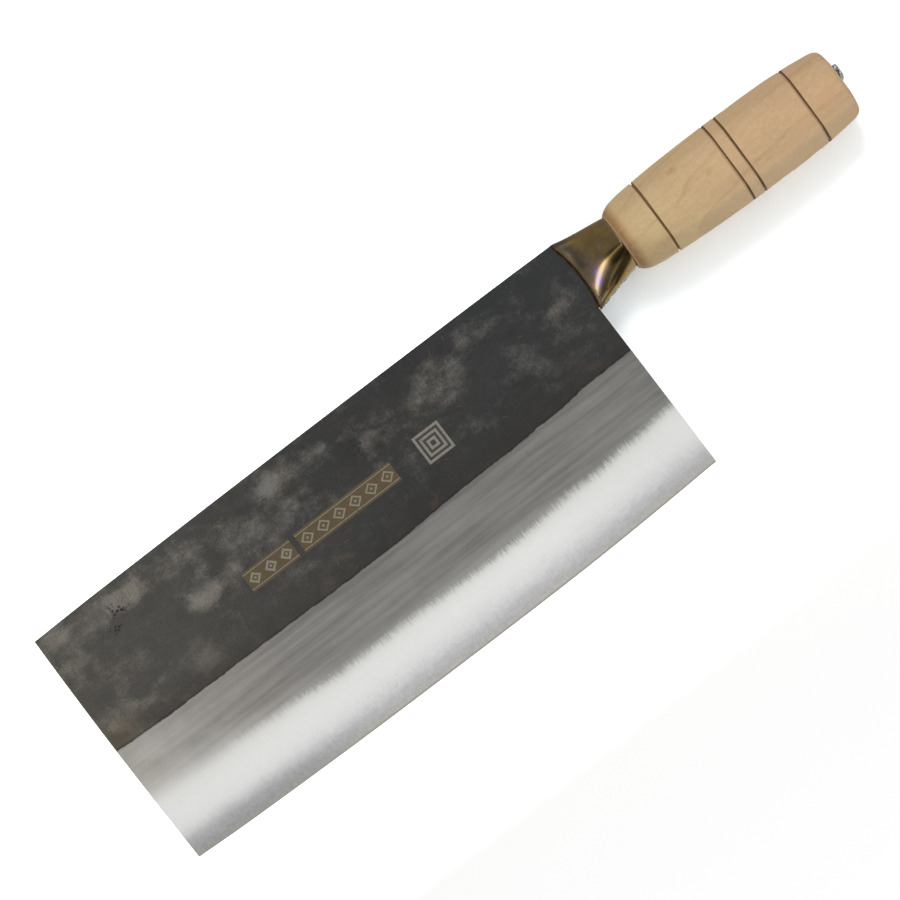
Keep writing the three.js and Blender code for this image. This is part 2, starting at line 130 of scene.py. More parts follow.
def face_outwards(mesh):
    mesh.calc_loop_triangles()
    points = np.empty(len(mesh.vertices) * 3, np.float32)
    mesh.vertices.foreach_get("co", points)
    points = points.reshape(-1, 3).astype(float)
    corners = np.empty(len(mesh.loop_triangles) * 3, np.int32)
    mesh.loop_triangles.foreach_get("vertices", corners)
    a, b, c = (points[corners.reshape(-1, 3)[:, k]] for k in range(3))
    if np.einsum("ij,ij->i", a, np.cross(b, c)).sum() < 0:
        mesh.flip_normals()


def grid_faces(count_u, count_v, wrap_u=False):
    """Quads over a grid of points that closes on itself along v."""
    u, v = np.meshgrid(
        np.arange(count_u if wrap_u else count_u - 1), np.arange(count_v), indexing="ij"
    )
    next_u, next_v = (u + 1) % count_u, (v + 1) % count_v
    corners = [u * count_v + v, next_u * count_v + v,
               next_u * count_v + next_v, u * count_v + next_v]
    return np.stack(corners, -1).reshape(-1, 4).tolist()


def loft(name, grid, sharp_angle, attributes=None):
    """Closed rings of points joined in a row, with one flat face at each end."""
    count, around = grid.shape[:2]
    first = list(range(around))
    last = [(count - 1) * around + i for i in first]
    faces = grid_faces(count, around) + [first, last[::-1]]
    return make_object(name, grid.reshape(-1, 3), faces, sharp_angle, attributes)


# ------------------------------------------------------------------ node helpers
def srgb(*rgb):
    """A linear colour from sRGB values of 0 to 255."""
    shares = [value / 255 for value in rgb]
    linear = [c / 12.92 if c <= 0.04045 else ((c + 0.055) / 1.055) ** 2.4 for c in shares]
    return (*linear, 1.0)


def operator(operation, swapped=False):
    return lambda self, other: self.math(operation, other, swapped)


class Field:
    """A shader node's output. Arithmetic on it adds math nodes."""

    def __init__(self, net, socket):
        self.net, self.socket = net, socket

    def math(self, operation, other=None, swapped=False, clamp=False):
        operands = (other, self) if swapped else (self, other)
        return self.net.node("Math", dict(enumerate(operands)), operation=operation,
                             use_clamp=clamp)

    __add__, __radd__ = operator("ADD"), operator("ADD", True)
    __sub__, __rsub__ = operator("SUBTRACT"), operator("SUBTRACT", True)
    __mul__, __rmul__ = operator("MULTIPLY"), operator("MULTIPLY", True)
    __truediv__ = operator("DIVIDE")

    def __abs__(self):
        return self.math("ABSOLUTE")

    def max(self, other):
        return self.math("MAXIMUM", other)

    def map_range(self, lo, hi, start, end, interpolation):
        return self.net.node("MapRange", {
            "Value": self, "From Min": lo, "From Max": hi, "To Min": start, "To Max": end,
        }, interpolation_type=interpolation, clamp=True)

    def ease(self, lo, hi, start=0.0, end=1.0):
        """A smooth step, from start where the field is lo to end where it is hi."""
        return self.map_range(lo, hi, start, end, "SMOOTHSTEP")

    def ramp(self, lo, hi, stops):
        """Colours along lo to hi, from (share of the way, colour) stops."""
        share = self.map_range(lo, hi, 0.0, 1.0, "LINEAR")
        node = self.net.new("ValToRGB", {0: share})
        elements = node.color_ramp.elements
        while len(elements) > 1:
            elements.remove(elements[0])
        elements[0].position, elements[0].color = stops[0]
        for position, color in stops[1:]:
            elements.new(position).color = color
        return Field(self.net, node.outputs[0])

    def between(self, a, b):
        """The float a where this field is 0, and b where it is 1."""
        return self.net.mix(self, a, b, "FLOAT")


MIX_SOCKETS = {"FLOAT": (2, 0), "VECTOR": (4, 1), "RGBA": (6, 2)}  # first input, output


class Net:
    """The node tree of a material or the world. Texture sizes are in millimetres."""

    def __init__(self, owner):
        owner.use_nodes = True
        self.owner, self.tree = owner, owner.node_tree
        self.tree.nodes.clear()

    def put(self, socket, value):
        if isinstance(value, Field):
            self.tree.links.new(value.socket, socket)
        elif value is not None:
            socket.default_value = value

    def new(self, kind, inputs=None, **settings):
        node = self.tree.nodes.new("ShaderNode" + kind)
        for key, value in settings.items():
            setattr(node, key, value)
        for key, value in (inputs or {}).items():
            self.put(node.inputs[key], value)
        return node

    def node(self, kind, inputs=None, output=0, **settings):
        return Field(self, self.new(kind, inputs, **settings).outputs[output])

    def outputs(self, kind, *names, inputs=None):
        node = self.new(kind, inputs)
        return [Field(self, node.outputs[name]) for name in names]

    def split(self, vector):
        return self.outputs("SeparateXYZ", "X", "Y", "Z", inputs={0: vector})

    @cached_property
    def position(self):
        local = self.node("TexCoord", output="Object")
        return self.node("VectorMath", {0: local, "Scale": 1 / MM}, operation="SCALE")

    @cached_property
    def axes(self):
        return self.split(self.position)

    def attr(self, name):
        return self.node("Attribute", output="Fac", attribute_name=name)

    def stretch(self, size, shift, seed):
        """The position divided by a feature size along each axis, then shifted."""
        inputs = {0: self.position, 1: [1 / s for s in size], 2: (shift, seed, 0.0)}
        return self.node("VectorMath", inputs, operation="MULTIPLY_ADD")

    def noise(self, size, shift=0.0, detail=3.0, rough=0.5, seed=0.0, distortion=0.0):
        return self.node("TexNoise", {
            "Vector": self.stretch(size, shift, seed), "Scale": 1.0, "Detail": detail,
            "Roughness": rough, "Distortion": distortion,
        }, output="Fac")

    def cells(self, size, shift, seed=0.0):
        """Distance from the nearest of scattered points."""
        inputs = {"Vector": self.stretch(size, shift, seed), "Scale": 1.0, "Randomness": 1.0}
        return self.node("TexVoronoi", inputs, output="Distance")

    def mix(self, amount, a, b, kind="RGBA"):
        first, output = MIX_SOCKETS[kind]
        return self.node("Mix", {0: amount, first: a, first + 1: b}, output, data_type=kind)

    def paint(self, color, *layers):
        """Lays (amount, colour) layers over a colour, in order."""
        for amount, layer in layers:
            color = self.mix(amount, color, layer)
        return color

    def tint(self, color, *factors):
        """A colour times each of the factors."""
        if not isinstance(color, Field):
            color = color[:3]
        for factor in factors:
            color = self.node("VectorMath", {0: color, "Scale": factor}, operation="SCALE")
        return color

    def bump(self, height, distance_mm, strength):
        return self.node("Bump", {
            "Strength": strength, "Distance": distance_mm * MM, "Height": height,
        })

    def end(self, shader, kind="OutputMaterial"):
        self.new(kind, {0: shader})
        return self.owner

    def finish(self, color, roughness, metallic, normal, specular=0.5):
        return self.end(self.node("BsdfPrincipled", {
            "Base Color": color, "Roughness": roughness, "Metallic": metallic,
            "Normal": normal, "Specular IOR Level": specular,
        }))


def material_net(name):
    return Net(bpy.data.materials.new(name))


# ================================================================== blade shape
TIP_X, HEEL_X, TIP_BULGE = -168.0, 53.95, 0.55
SPINE_HALF_HEEL, SPINE_HALF_TIP = 1.1, 0.95  # half thicknesses of the plate
CORE_HALF, EDGE_HALF = 0.32, 0.02
MICRO_HEIGHT, MICRO_HALF = 0.7, 0.17  # the small honed bevel at the edge
GRIND_HALF, SCALE_STEP = 0.7, 0.05  # at the bevel's top; from scale down to ground steel
CLADDING_START = 0.2182  # share of the bevel's height where the core leaves the cladding

# Heights along the blade, as (x, z).
edge_z = curve_through([
    (-168.6, 2.4), (-150, 1.53), (-133, 1.05), (-116, 0.68), (-99, 0.37), (-82, 0.2),
    (-65, 0.1), (-48, 0.03), (-31, 0.0), (-14, 0.07), (3, 0.31), (20, 0.76), (37, 1.4),
    (54, 2.16),
])
spine_z = curve_through([
    (-168.6, 94.76), (-150, 95.16), (-133, 95.32), (-99, 95.52), (-65, 95.6), (-31, 95.57),
    (3, 95.44), (37, 95.18), (54, 94.93),
])
scale_z = curve_through([  # lower limit of the forge scale
    (-168.6, 48.05), (-157.9, 47.36), (-145.7, 47.02), (-133.4, 46.92), (-117, 46.68),
    (-96.6, 46.58), (-72, 46.24), (-51.5, 46.24), (-43.4, 46.48), (-35.2, 46.92),
    (-27, 47.36), (-18.8, 47.5), (-6.5, 47.7), (5.7, 47.84), (13.9, 48.45), (22.1, 48.5),
    (30.3, 49.25), (38.5, 49.65), (46.7, 49.89), (54.2, 50.0),
])
bevel_color_z = curve_through([  # where the bright bevel's colour stops
    (-168.6, 29.6), (-157.9, 28.5), (-149.7, 27.9), (-141.6, 27.3), (-133.4, 26.8),
    (-125.2, 26.1), (-117, 25.1), (-108.8, 24.8), (-100.6, 23.8), (-92.5, 23.1), (-60, 23.0),
    (-40, 22.3), (-27, 22.2), (-12, 22.5), (5.7, 23.7), (22.1, 24.2), (30.3, 25.2),
    (38.5, 25.3), (46.7, 26.4), (54.2, 26.8),
])
bevel_shape_z = curve_through([  # top of the bevel as a shape
    (-168.6, 29.5), (-150, 28.2), (-116, 25.2), (-80, 23.2), (-31, 22.6), (3, 23.2),
    (37, 25.0), (54, 26.8),
])

# Places where the scale is more worn: x, z, radius along x, radius along z, amount.
WORN_LEFT = [
    (-162, 91.5, 7, 3.5, 0.12), (-138, 89, 14, 4.5, 0.15), (-114.6, 88.3, 6, 4.5, 0.11),
    (-159, 76.5, 9, 7.5, 0.10), (-137, 70.5, 6.5, 4, 0.08), (-113.5, 71.5, 8, 4, 0.14),
    (-90, 77, 12, 7, 0.10), (-95.8, 72.3, 5, 3, 0.12), (-71, 89, 10, 5.5, 0.14),
    (-66.5, 78.6, 6.5, 3.5, 0.10), (-155, 53.5, 13, 5, 0.12), (-125, 54, 6.5, 5, 0.10),
    (-79.5, 58, 4, 3, 0.08), (-48.4, 87.5, 6, 4, 0.13), (-32, 82, 8.5, 8, 0.10),
    (-3.8, 80, 9.5, 7, 0.11), (18.5, 87, 6.5, 5, 0.10), (44.5, 77.5, 8, 4, 0.12),
    (27, 63.8, 4.5, 8, 0.10), (15.6, 64.3, 3, 4, 0.09), (2.7, 59.2, 4, 4, 0.08),
    (-40, 57.8, 4, 3.5, 0.08),
]
WORN_RIGHT = [
    (-150, 60, 12, 7, 0.12), (-120, 84, 14, 6, 0.14), (-86, 60, 8, 5, 0.10),
    (-70, 86, 12, 6, 0.12), (-36, 68, 12, 5, 0.12), (0, 84, 10, 7, 0.13),
    (28, 62, 7, 6, 0.10), (44, 86, 7, 5, 0.11), (-163, 86, 6, 8, 0.12),
    (-100, 72, 6, 5, 0.09), (-52, 78, 7, 6, 0.09),
]
FACES = {
    "left": dict(side=-1, shape_seed=100, scale_seed=0.0, ground_seed=3.1, worn=WORN_LEFT),
    "right": dict(side=1, shape_seed=200, scale_seed=57.0, ground_seed=41.7, worn=WORN_RIGHT),
}


def share_from_tip(x):
    return np.clip((x - TIP_X) / (HEEL_X - TIP_X), 0, 1)


def plate_half(x):
    return lerp(SPINE_HALF_TIP, SPINE_HALF_HEEL, share_from_tip(x))


def ground_half(x, z):
    """Half thickness of the ground part of the blade, below the forge scale."""
    micro_z = edge_z(x) + MICRO_HEIGHT
    bevel_z = bevel_shape_z(x)
    up_bevel = np.clip((z - micro_z) / (bevel_z - micro_z), 0, 1)
    bulge = 0.62 * up_bevel + 0.38 * (1 - (1 - up_bevel) ** 2)
    convex = MICRO_HALF + (GRIND_HALF - MICRO_HALF) * bulge
    up_wedge = np.clip((z - bevel_z) / (scale_z(x) - 0.35 - bevel_z), 0, 1)
    wedge = lerp(GRIND_HALF, plate_half(x) - SCALE_STEP, up_wedge)
    return np.where(z < bevel_z, convex, wedge)


def tip_bulge(x, z):
    return TIP_BULGE * (1 - ((z - 48) / 48) ** 2) * (1 - share_from_tip(x)) ** 6


def worn_amount(x, z, places):
    total = np.full(np.broadcast(x, z).shape, -0.052)
    for cx, cz, rx, rz, amount in places:
        total = total + amount * np.exp(-((x - cx) / rx) ** 2 - ((z - cz) / rz) ** 2)
    return total


def blade_attributes(x, z):
    x = np.minimum(x, HEEL_X)
    return {
        "above_scale": z - scale_z(x),
        "above_bevel": z - bevel_color_z(x),
        "above_edge": z - edge_z(x),
        "below_spine": spine_z(x) - z,
    }


# ------------------------------------------------------------------ cladding
TIP_STEPS = np.array([0.0, 0.05, 0.12, 0.22, 0.34])  # columns close to the tip and heel
TAB_COLUMNS = [54.6, 55.2, 55.9, 56.6, 57.5]  # x behind the heel, inside the collar
SCALE_ROWS = mirrored([0.08, 0.17, 0.27, 0.38, 0.5, 0.64, 0.8, 1.0])  # round the scale line
TOP_ROWS = np.array([0.36, 0.24, 0.14, 0.06, 0.015, 0.0])  # below the spine
CORNER_RADIUS = 0.3


def cladding_grid():
    """Column positions, and x and z over a grid of columns and rows."""
    columns = np.concatenate([
        TIP_X + TIP_STEPS, np.linspace(TIP_X + 0.6, HEEL_X - 0.5, 430),
        HEEL_X - TIP_STEPS[::-1], TAB_COLUMNS,
    ])[:, None]
    x = np.minimum(columns, HEEL_X)
    bottom = edge_z(x) + MICRO_HEIGHT
    bottom = bottom + CLADDING_START * (bevel_shape_z(x) - edge_z(x) - MICRO_HEIGHT)
    scale, spine = scale_z(x), spine_z(x)
    z = np.concatenate([
        lerp(bottom, scale - 1.15, np.linspace(0, 1, 72)[:-1]),
        scale + SCALE_ROWS,
        lerp(scale + 1.0, spine - TOP_ROWS[0], np.linspace(0, 1, 96)[1:-1]),
        spine - TOP_ROWS,
    ], 1)
    return columns, columns - tip_bulge(columns, z), z


def cladding_half(columns, x, z, seed):
    """Half thickness to the outer face, and how far the scale covers it."""
    rag = 0.20 * noise(x, 0, 3.2, 1, seed + 1, 4, 0.6) + 0.07 * noise(x, z, 0.9, 1.2, seed + 2, 2)
    cover = smoothstep(-0.22, 0.22, z - scale_z(x) + rag)
    lumps = 0.016 * noise(x, z, 9, 7, seed + 3, 5, 0.55)
    scabs = smoothstep(0.15, 0.75, noise(x, z, 13, 9, seed + 4, 4, 0.6))
    fine_grain = 0.007 * noise(x, z, 1.7, 1.5, seed + 5, 2)
    pits = smoothstep(0.62, 0.95, noise(x, z, 2.6, 2.2, seed + 6, 2))
    pits = pits * smoothstep(0.0, 0.5, noise(x, z, 24, 18, seed + 7, 2))
    relief = lumps + fine_grain - 0.022 * scabs - 0.045 * pits - 0.012
    waves = 0.006 * noise(x, z, 70, 2.4, seed + 8, 2) * smoothstep(2, 12, z - edge_z(x))
    half = lerp(ground_half(x, z) + waves, plate_half(x) + relief, cover)
    # rounded corners along the tip, the spine and the free part of the heel
    in_tab = (z > 68.6) & (z < 93.3)
    to_spine = spine_z(np.minimum(x, HEEL_X)) - z
    to_heel = np.where(in_tab, 99.0, HEEL_X - x)
    for distance, share in ((columns - TIP_X, 0.6), (to_spine, 1.0), (to_heel, 0.6)):
        k = np.clip(distance / CORNER_RADIUS, 0, 1)
        drop = CORNER_RADIUS * share * (1 - np.sqrt(1 - (1 - k) ** 2))
        half = half - drop * smoothstep(0.35, 0.7, half)
    return np.maximum(half, CORE_HALF + 0.004), cover


def cladding_outline(heel, last, low, high, top):
    """Grid places once round: bottom, heel, tab, heel, spine and back down the tip."""
    walk = [(i, 0) for i in range(heel + 1)]
    walk += [(heel, j) for j in range(1, low + 1)]
    walk += [(i, low) for i in range(heel + 1, last + 1)]
    walk += [(last, j) for j in range(low + 1, high + 1)]
    walk += [(i, high) for i in range(last - 1, heel - 1, -1)]
    walk += [(heel, j) for j in range(high + 1, top + 1)]
    walk += [(i, top) for i in range(heel - 1, -1, -1)]
    return walk + [(0, j) for j in range(top - 1, 0, -1)]


def cladding(name, side, seed, worn):
    """One outer layer of the blade, with scale relief on its outer face."""
    columns, x, z = cladding_grid()
    half, cover = cladding_half(columns, x, z, seed)
    count_x, count_z = x.shape
    heel = count_x - len(TAB_COLUMNS) - 1

    # cells: everything ahead of the heel, and only the tab's rows behind it
    tab_rows = np.where((z[heel] > 68.75) & (z[heel] < 93.2))[0]
    low, high = tab_rows[0], tab_rows[-1]
    cell = np.zeros((count_x - 1, count_z - 1), bool)
    cell[:heel, :] = True
    cell[heel:, low:high] = True
    used = np.zeros((count_x, count_z), bool)
    for a in (0, 1):
        for b in (0, 1):
            used[a:count_x - 1 + a, b:count_z - 1 + b] |= cell
    index = -np.ones((count_x, count_z), int)
    index[used] = np.arange(used.sum())
    points = np.stack([x, side * half, z], -1)[used]
    i, j = np.where(cell)
    quads = np.stack([index[i, j], index[i + 1, j], index[i + 1, j + 1], index[i, j + 1]], -1)

    # the rim drops square to the core, and one flat face closes the inside
    walk = cladding_outline(heel, count_x - 1, low, high, count_z - 1)
    outer = np.array([index[place] for place in walk])
    inner = len(points) + np.arange(len(outer))
    inner_points = points[outer].copy()
    inner_points[:, 1] = side * CORE_HALF
    points = np.concatenate([points, inner_points])
    walls = np.stack([np.roll(outer, -1), outer, inner, np.roll(inner, -1)], -1)
    faces = quads.tolist() + walls.tolist() + [inner[::-1].tolist()]
    if side > 0:
        faces = [face[::-1] for face in faces]

    px, pz = points[:, 0], points[:, 2]
    attributes = blade_attributes(px, pz)
    attributes["scale_cover"] = np.concatenate([cover[used], cover[used][outer]])
    attributes["worn"] = worn_amount(px, pz, worn)
    return make_object(name, points, faces, 40, attributes)


# ------------------------------------------------------------------ core
# The block behind the heel, as (x, z).
TAB_OUTLINE = [
    (53.955, 68.9), (57.5, 69.6), (63.9, 76.5), (63.9, 86.5), (57.5, 92.4), (53.955, 93.0),
]


def core():
    """The middle layer, with the convex bevel, the honed edge and the tab in the collar."""
    x = np.concatenate([
        [TIP_X, TIP_X + 0.12], np.linspace(TIP_X + 0.4, HEEL_X - 0.3, 420), [HEEL_X],
    ])
    edge = edge_z(x)
    micro = edge + MICRO_HEIGHT
    start = micro + CLADDING_START * (bevel_shape_z(x) - micro)
    nicks = np.maximum(0, 0.03 * noise(x, 0, 1.3, 1, 91, 3, 0.6))
    rows = []  # (z, half thickness), from the edge up
    for q in (0.0, 0.1, 0.35, 0.7, 1.0):
        rows.append((edge + q * MICRO_HEIGHT + nicks * (1 - q), lerp(EDGE_HALF, MICRO_HALF, q)))
    for q in np.linspace(0, 1, 9)[1:]:
        z = lerp(micro, start, q)
        rows.append((z, np.minimum(ground_half(x, z), CORE_HALF)))
    for q in np.linspace(0, 1, 14)[1:]:
        rows.append((lerp(start, spine_z(x) - 0.05, q), CORE_HALF))
    rows.append((spine_z(x), CORE_HALF - 0.05))
    left = [points_from(x - tip_bulge(x, z), -half, z) for z, half in rows]
    right = [points_from(x - tip_bulge(x, z), half, z) for z, half in rows]
    grid = np.stack(left + right[::-1], 1)
    count, around = grid.shape[:2]
    faces = grid_faces(count, around)
    for base, flip in ((0, False), ((count - 1) * around, True)):
        for j in range(len(rows) - 1):
            face = [base + j, base + j + 1, base + around - 2 - j, base + around - 1 - j]
            faces.append(face[::-1] if flip else face)
    points = grid.reshape(-1, 3)

    base, k = len(points), len(TAB_OUTLINE)
    tab = np.array([(x, side * CORE_HALF, z) for side in (-1, 1) for x, z in TAB_OUTLINE])
    faces += [[base + i for i in range(k)][::-1], [base + k + i for i in range(k)]]
    faces += [[base + i, base + (i + 1) % k, base + k + (i + 1) % k, base + k + i]
              for i in range(k)]
    points = np.concatenate([points, tab])
    attributes = blade_attributes(points[:, 0], points[:, 2])
    return make_object("blade_core_steel", points, faces, 40, attributes)


# ================================================================== blade materials
THROUGH = 9  # texture feature size through the blade's thickness

# Satin steel from tip to heel, and the bevel from the edge up: share of the way, colour.
SATIN_STOPS = [
    (0.0, srgb(168, 165, 158)), (0.054, srgb(164, 161, 156)), (0.12, srgb(152, 149, 144)),
    (0.194, srgb(142, 138, 133)), (0.30, srgb(132, 130, 126)), (0.5, srgb(129, 128, 124)),
    (0.8, srgb(124, 123, 119)), (1.0, srgb(124, 123, 119)),
]
BEVEL_STOPS = [
    (0.0, srgb(186, 183, 176)), (0.04, srgb(182, 180, 175)), (0.087, srgb(179, 178, 176)),
    (0.132, srgb(185, 185, 185)), (0.177, srgb(191, 191, 191)), (0.223, srgb(202, 202, 202)),
    (0.268, srgb(210, 210, 211)), (0.313, srgb(217, 217, 216)), (0.36, srgb(221, 221, 219)),
    (0.403, srgb(224, 224, 222)), (0.45, srgb(226, 226, 224)), (0.50, srgb(227, 227, 225)),
    (0.59, srgb(227, 227, 225)), (0.65, srgb(226, 226, 223)), (1.0, srgb(223, 222, 219)),
]
# Amount of bright bevel across its soft upper limit: share of the way down, amount.
SOFT_STOPS = [
    (0.0, 0.0), (0.06, 0.004), (0.152, 0.03), (0.237, 0.085), (0.325, 0.155), (0.408, 0.235),
    (0.494, 0.42), (0.579, 0.66), (0.662, 0.88), (0.75, 0.965), (0.92, 1.0),
]


def ground_steel(n, seed):
    """Colour, roughness and bump height of the ground steel below the forge scale."""
    def grain(size_x, size_z, shift, detail, rough=0.5):
        return n.noise((size_x, THROUGH, size_z), shift, detail, rough, seed)

    x = n.axes[0]
    above_edge, above_bevel = n.attr("above_edge"), n.attr("above_bevel")
    tipness, heelness = x.ease(-105, -158), x.ease(-40, 45)
    # satin band: long grinding streaks along the edge, lighter towards the tip
    streak = grain(46, 2.3, 0, 3, 0.55).ease(0.32, 0.68)
    streak_wide = grain(95, 4.4, 4, 2, 0.5)
    streak_fine = grain(20, 0.34, 9, 2, 0.6)
    cloud = grain(11, 7, 2, 4, 0.6)
    speckle = grain(0.8, 0.6, 6, 3, 0.65)
    tone = (
        (streak - 0.5) * tipness.between(0.34, 0.14) + tipness.between(1.12, 1.17)
        + (streak_wide - 0.5) * 0.46
        + (streak_fine - 0.5) * 0.12
        + (cloud - 0.5) * tipness.between(0.34, 0.56)
        + (speckle - 0.5) * 0.24
    ) * n.attr("above_scale").ease(-2.4, -0.1, start=1.0, end=0.93)
    satin = n.tint(x.ramp(-168, 54, SATIN_STOPS), tone)
    # bright bevel: tone by height above the edge, duller near the edge towards the tip
    low = above_edge + (cloud - 0.5) * 3.0
    bright = low.ramp(0, 30, BEVEL_STOPS)
    dull = x.ease(-82, -128) * (low - tipness * 1.8).ease(10.5, 3.5)
    bright = n.mix(dull * 0.27, bright, srgb(70, 72, 78))
    bright = n.tint(bright, x.ease(-20, 40, start=1.045, end=0.99))
    # fine strokes square to the edge, and a grain that is stronger near it
    strokes = grain(0.30, 4.0, 5, 2, 0.6)
    strokes_wide = grain(0.85, 5.5, 15, 2, 0.6)
    strokes_broad = grain(3.2, 8.0, 19, 2, 0.6)
    tooth = grain(0.42, 0.9, 25, 2, 0.6)
    mottle = grain(2.4, 2.0, 27, 4, 0.65)
    near_edge = above_edge.ease(14.0, 3.0, start=0.16, end=1.0)
    rubbed = (tooth - 0.5) * 0.46 + (strokes - 0.5) * 0.36 + (mottle - 0.5) * 0.40
    bright = n.tint(bright, 1.0 + rubbed * near_edge)
    # the feathered line between the two: strokes of different length over a soft gradient
    rag = (
        (strokes - 0.5) * 4.0 + (strokes_wide - 0.5) * 3.2
        + (tooth - 0.5) * 2.6 + (strokes_broad - 0.5) * 1.6
    )
    height_past = above_bevel / (1.0 + tipness * 0.32) + rag * tipness.between(0.32, 0.10)
    soft = height_past.ramp(8.0, -8.0, [(at, (v, v, v, 1.0)) for at, v in SOFT_STOPS])
    feathers = (above_bevel + rag * heelness.between(1.15, 1.35)).ease(1.7, -1.9)
    feathered = (1.0 - tipness) * heelness.between(0.42, 0.5)
    is_bright = feathered.between(soft, feathers)
    color = n.mix(is_bright, satin, bright)
    rough = is_bright.between(0.40, 0.30) + (streak_wide - 0.5) * 0.10
    # grinding marks as relief
    marks_along = grain(30, 0.14, 3, 2, 0.6)
    marks_across = grain(0.13, 8.0, 7, 2, 0.6)
    height = is_bright.between(marks_along, marks_across)
    # a few stray specks
    specks = n.cells((3.7, THROUGH, 3.1), 8, seed).ease(0.075, 0.02)
    specks = specks * grain(24, 18, 12, 1).ease(0.55, 0.64)
    return n.mix(specks * 0.5, color, srgb(88, 84, 78)), rough, height


# Etched panels on the left face. Each holds a row of lozenges.
PANEL_BOTTOM, PANEL_TOP, LOZENGE_Z, LOZENGE_HALF_HEIGHT = 62.5, 70.2, 66.35, 2.35
SHORT_PANEL = dict(start=-98.2, end=-78.2, first=3.33, pitch=6.667, half_width=2.5,
                   ring=0.55, clip=(-97.7, -78.7))
LONG_PANEL = dict(start=-75.9, end=-34.9, first=3.42, pitch=6.84, half_width=2.7,
                  ring=0.68, clip=(-75.4, -35.3))
SQUARE_X, SQUARE_Z, SQUARE_HALF = -18.75, 66.0, 5.45


def panel_marks(n):
    """Masks of the etched marks: panels, light strokes in them, square, its frames."""
    x, _, z = n.axes

    def within(value, lo, hi, soft):
        return value.ease(lo - soft, lo + soft) * value.ease(hi + soft, hi - soft)

    def box(panel):
        inside_x = within(x, panel["start"], panel["end"], 0.12)
        return inside_x * within(z, PANEL_BOTTOM, PANEL_TOP, 0.12)

    def lozenges(panel):
        first = panel["start"] + panel["first"]
        across = (x - first).math("PINGPONG", panel["pitch"] / 2)
        k = across / panel["half_width"] + abs(z - LOZENGE_Z) / LOZENGE_HALF_HEIGHT
        outer = k.ease(1.04, 0.96)
        hole = k.ease(panel["ring"] + 0.05, panel["ring"] - 0.05)
        dot = k.ease(0.26, 0.2)
        return (outer - hole).math("ADD", dot, clamp=True) * within(x, *panel["clip"], 0.1)

    panels = box(SHORT_PANEL).max(box(LONG_PANEL))
    chains = lozenges(LONG_PANEL).max(lozenges(SHORT_PANEL))
    off = abs(z - LOZENGE_Z)
    rules = off.ease(2.75, 2.85) * off.ease(3.15, 3.05)
    strokes = chains.max(rules) * panels
    reach = abs(x - SQUARE_X).max(abs(z - SQUARE_Z))
    square = reach.ease(SQUARE_HALF + 0.1, SQUARE_HALF - 0.1)
    frames = (reach + 0.45).math("PINGPONG", 0.9).ease(0.38, 0.52)
    return panels, strokes, square, frames * square


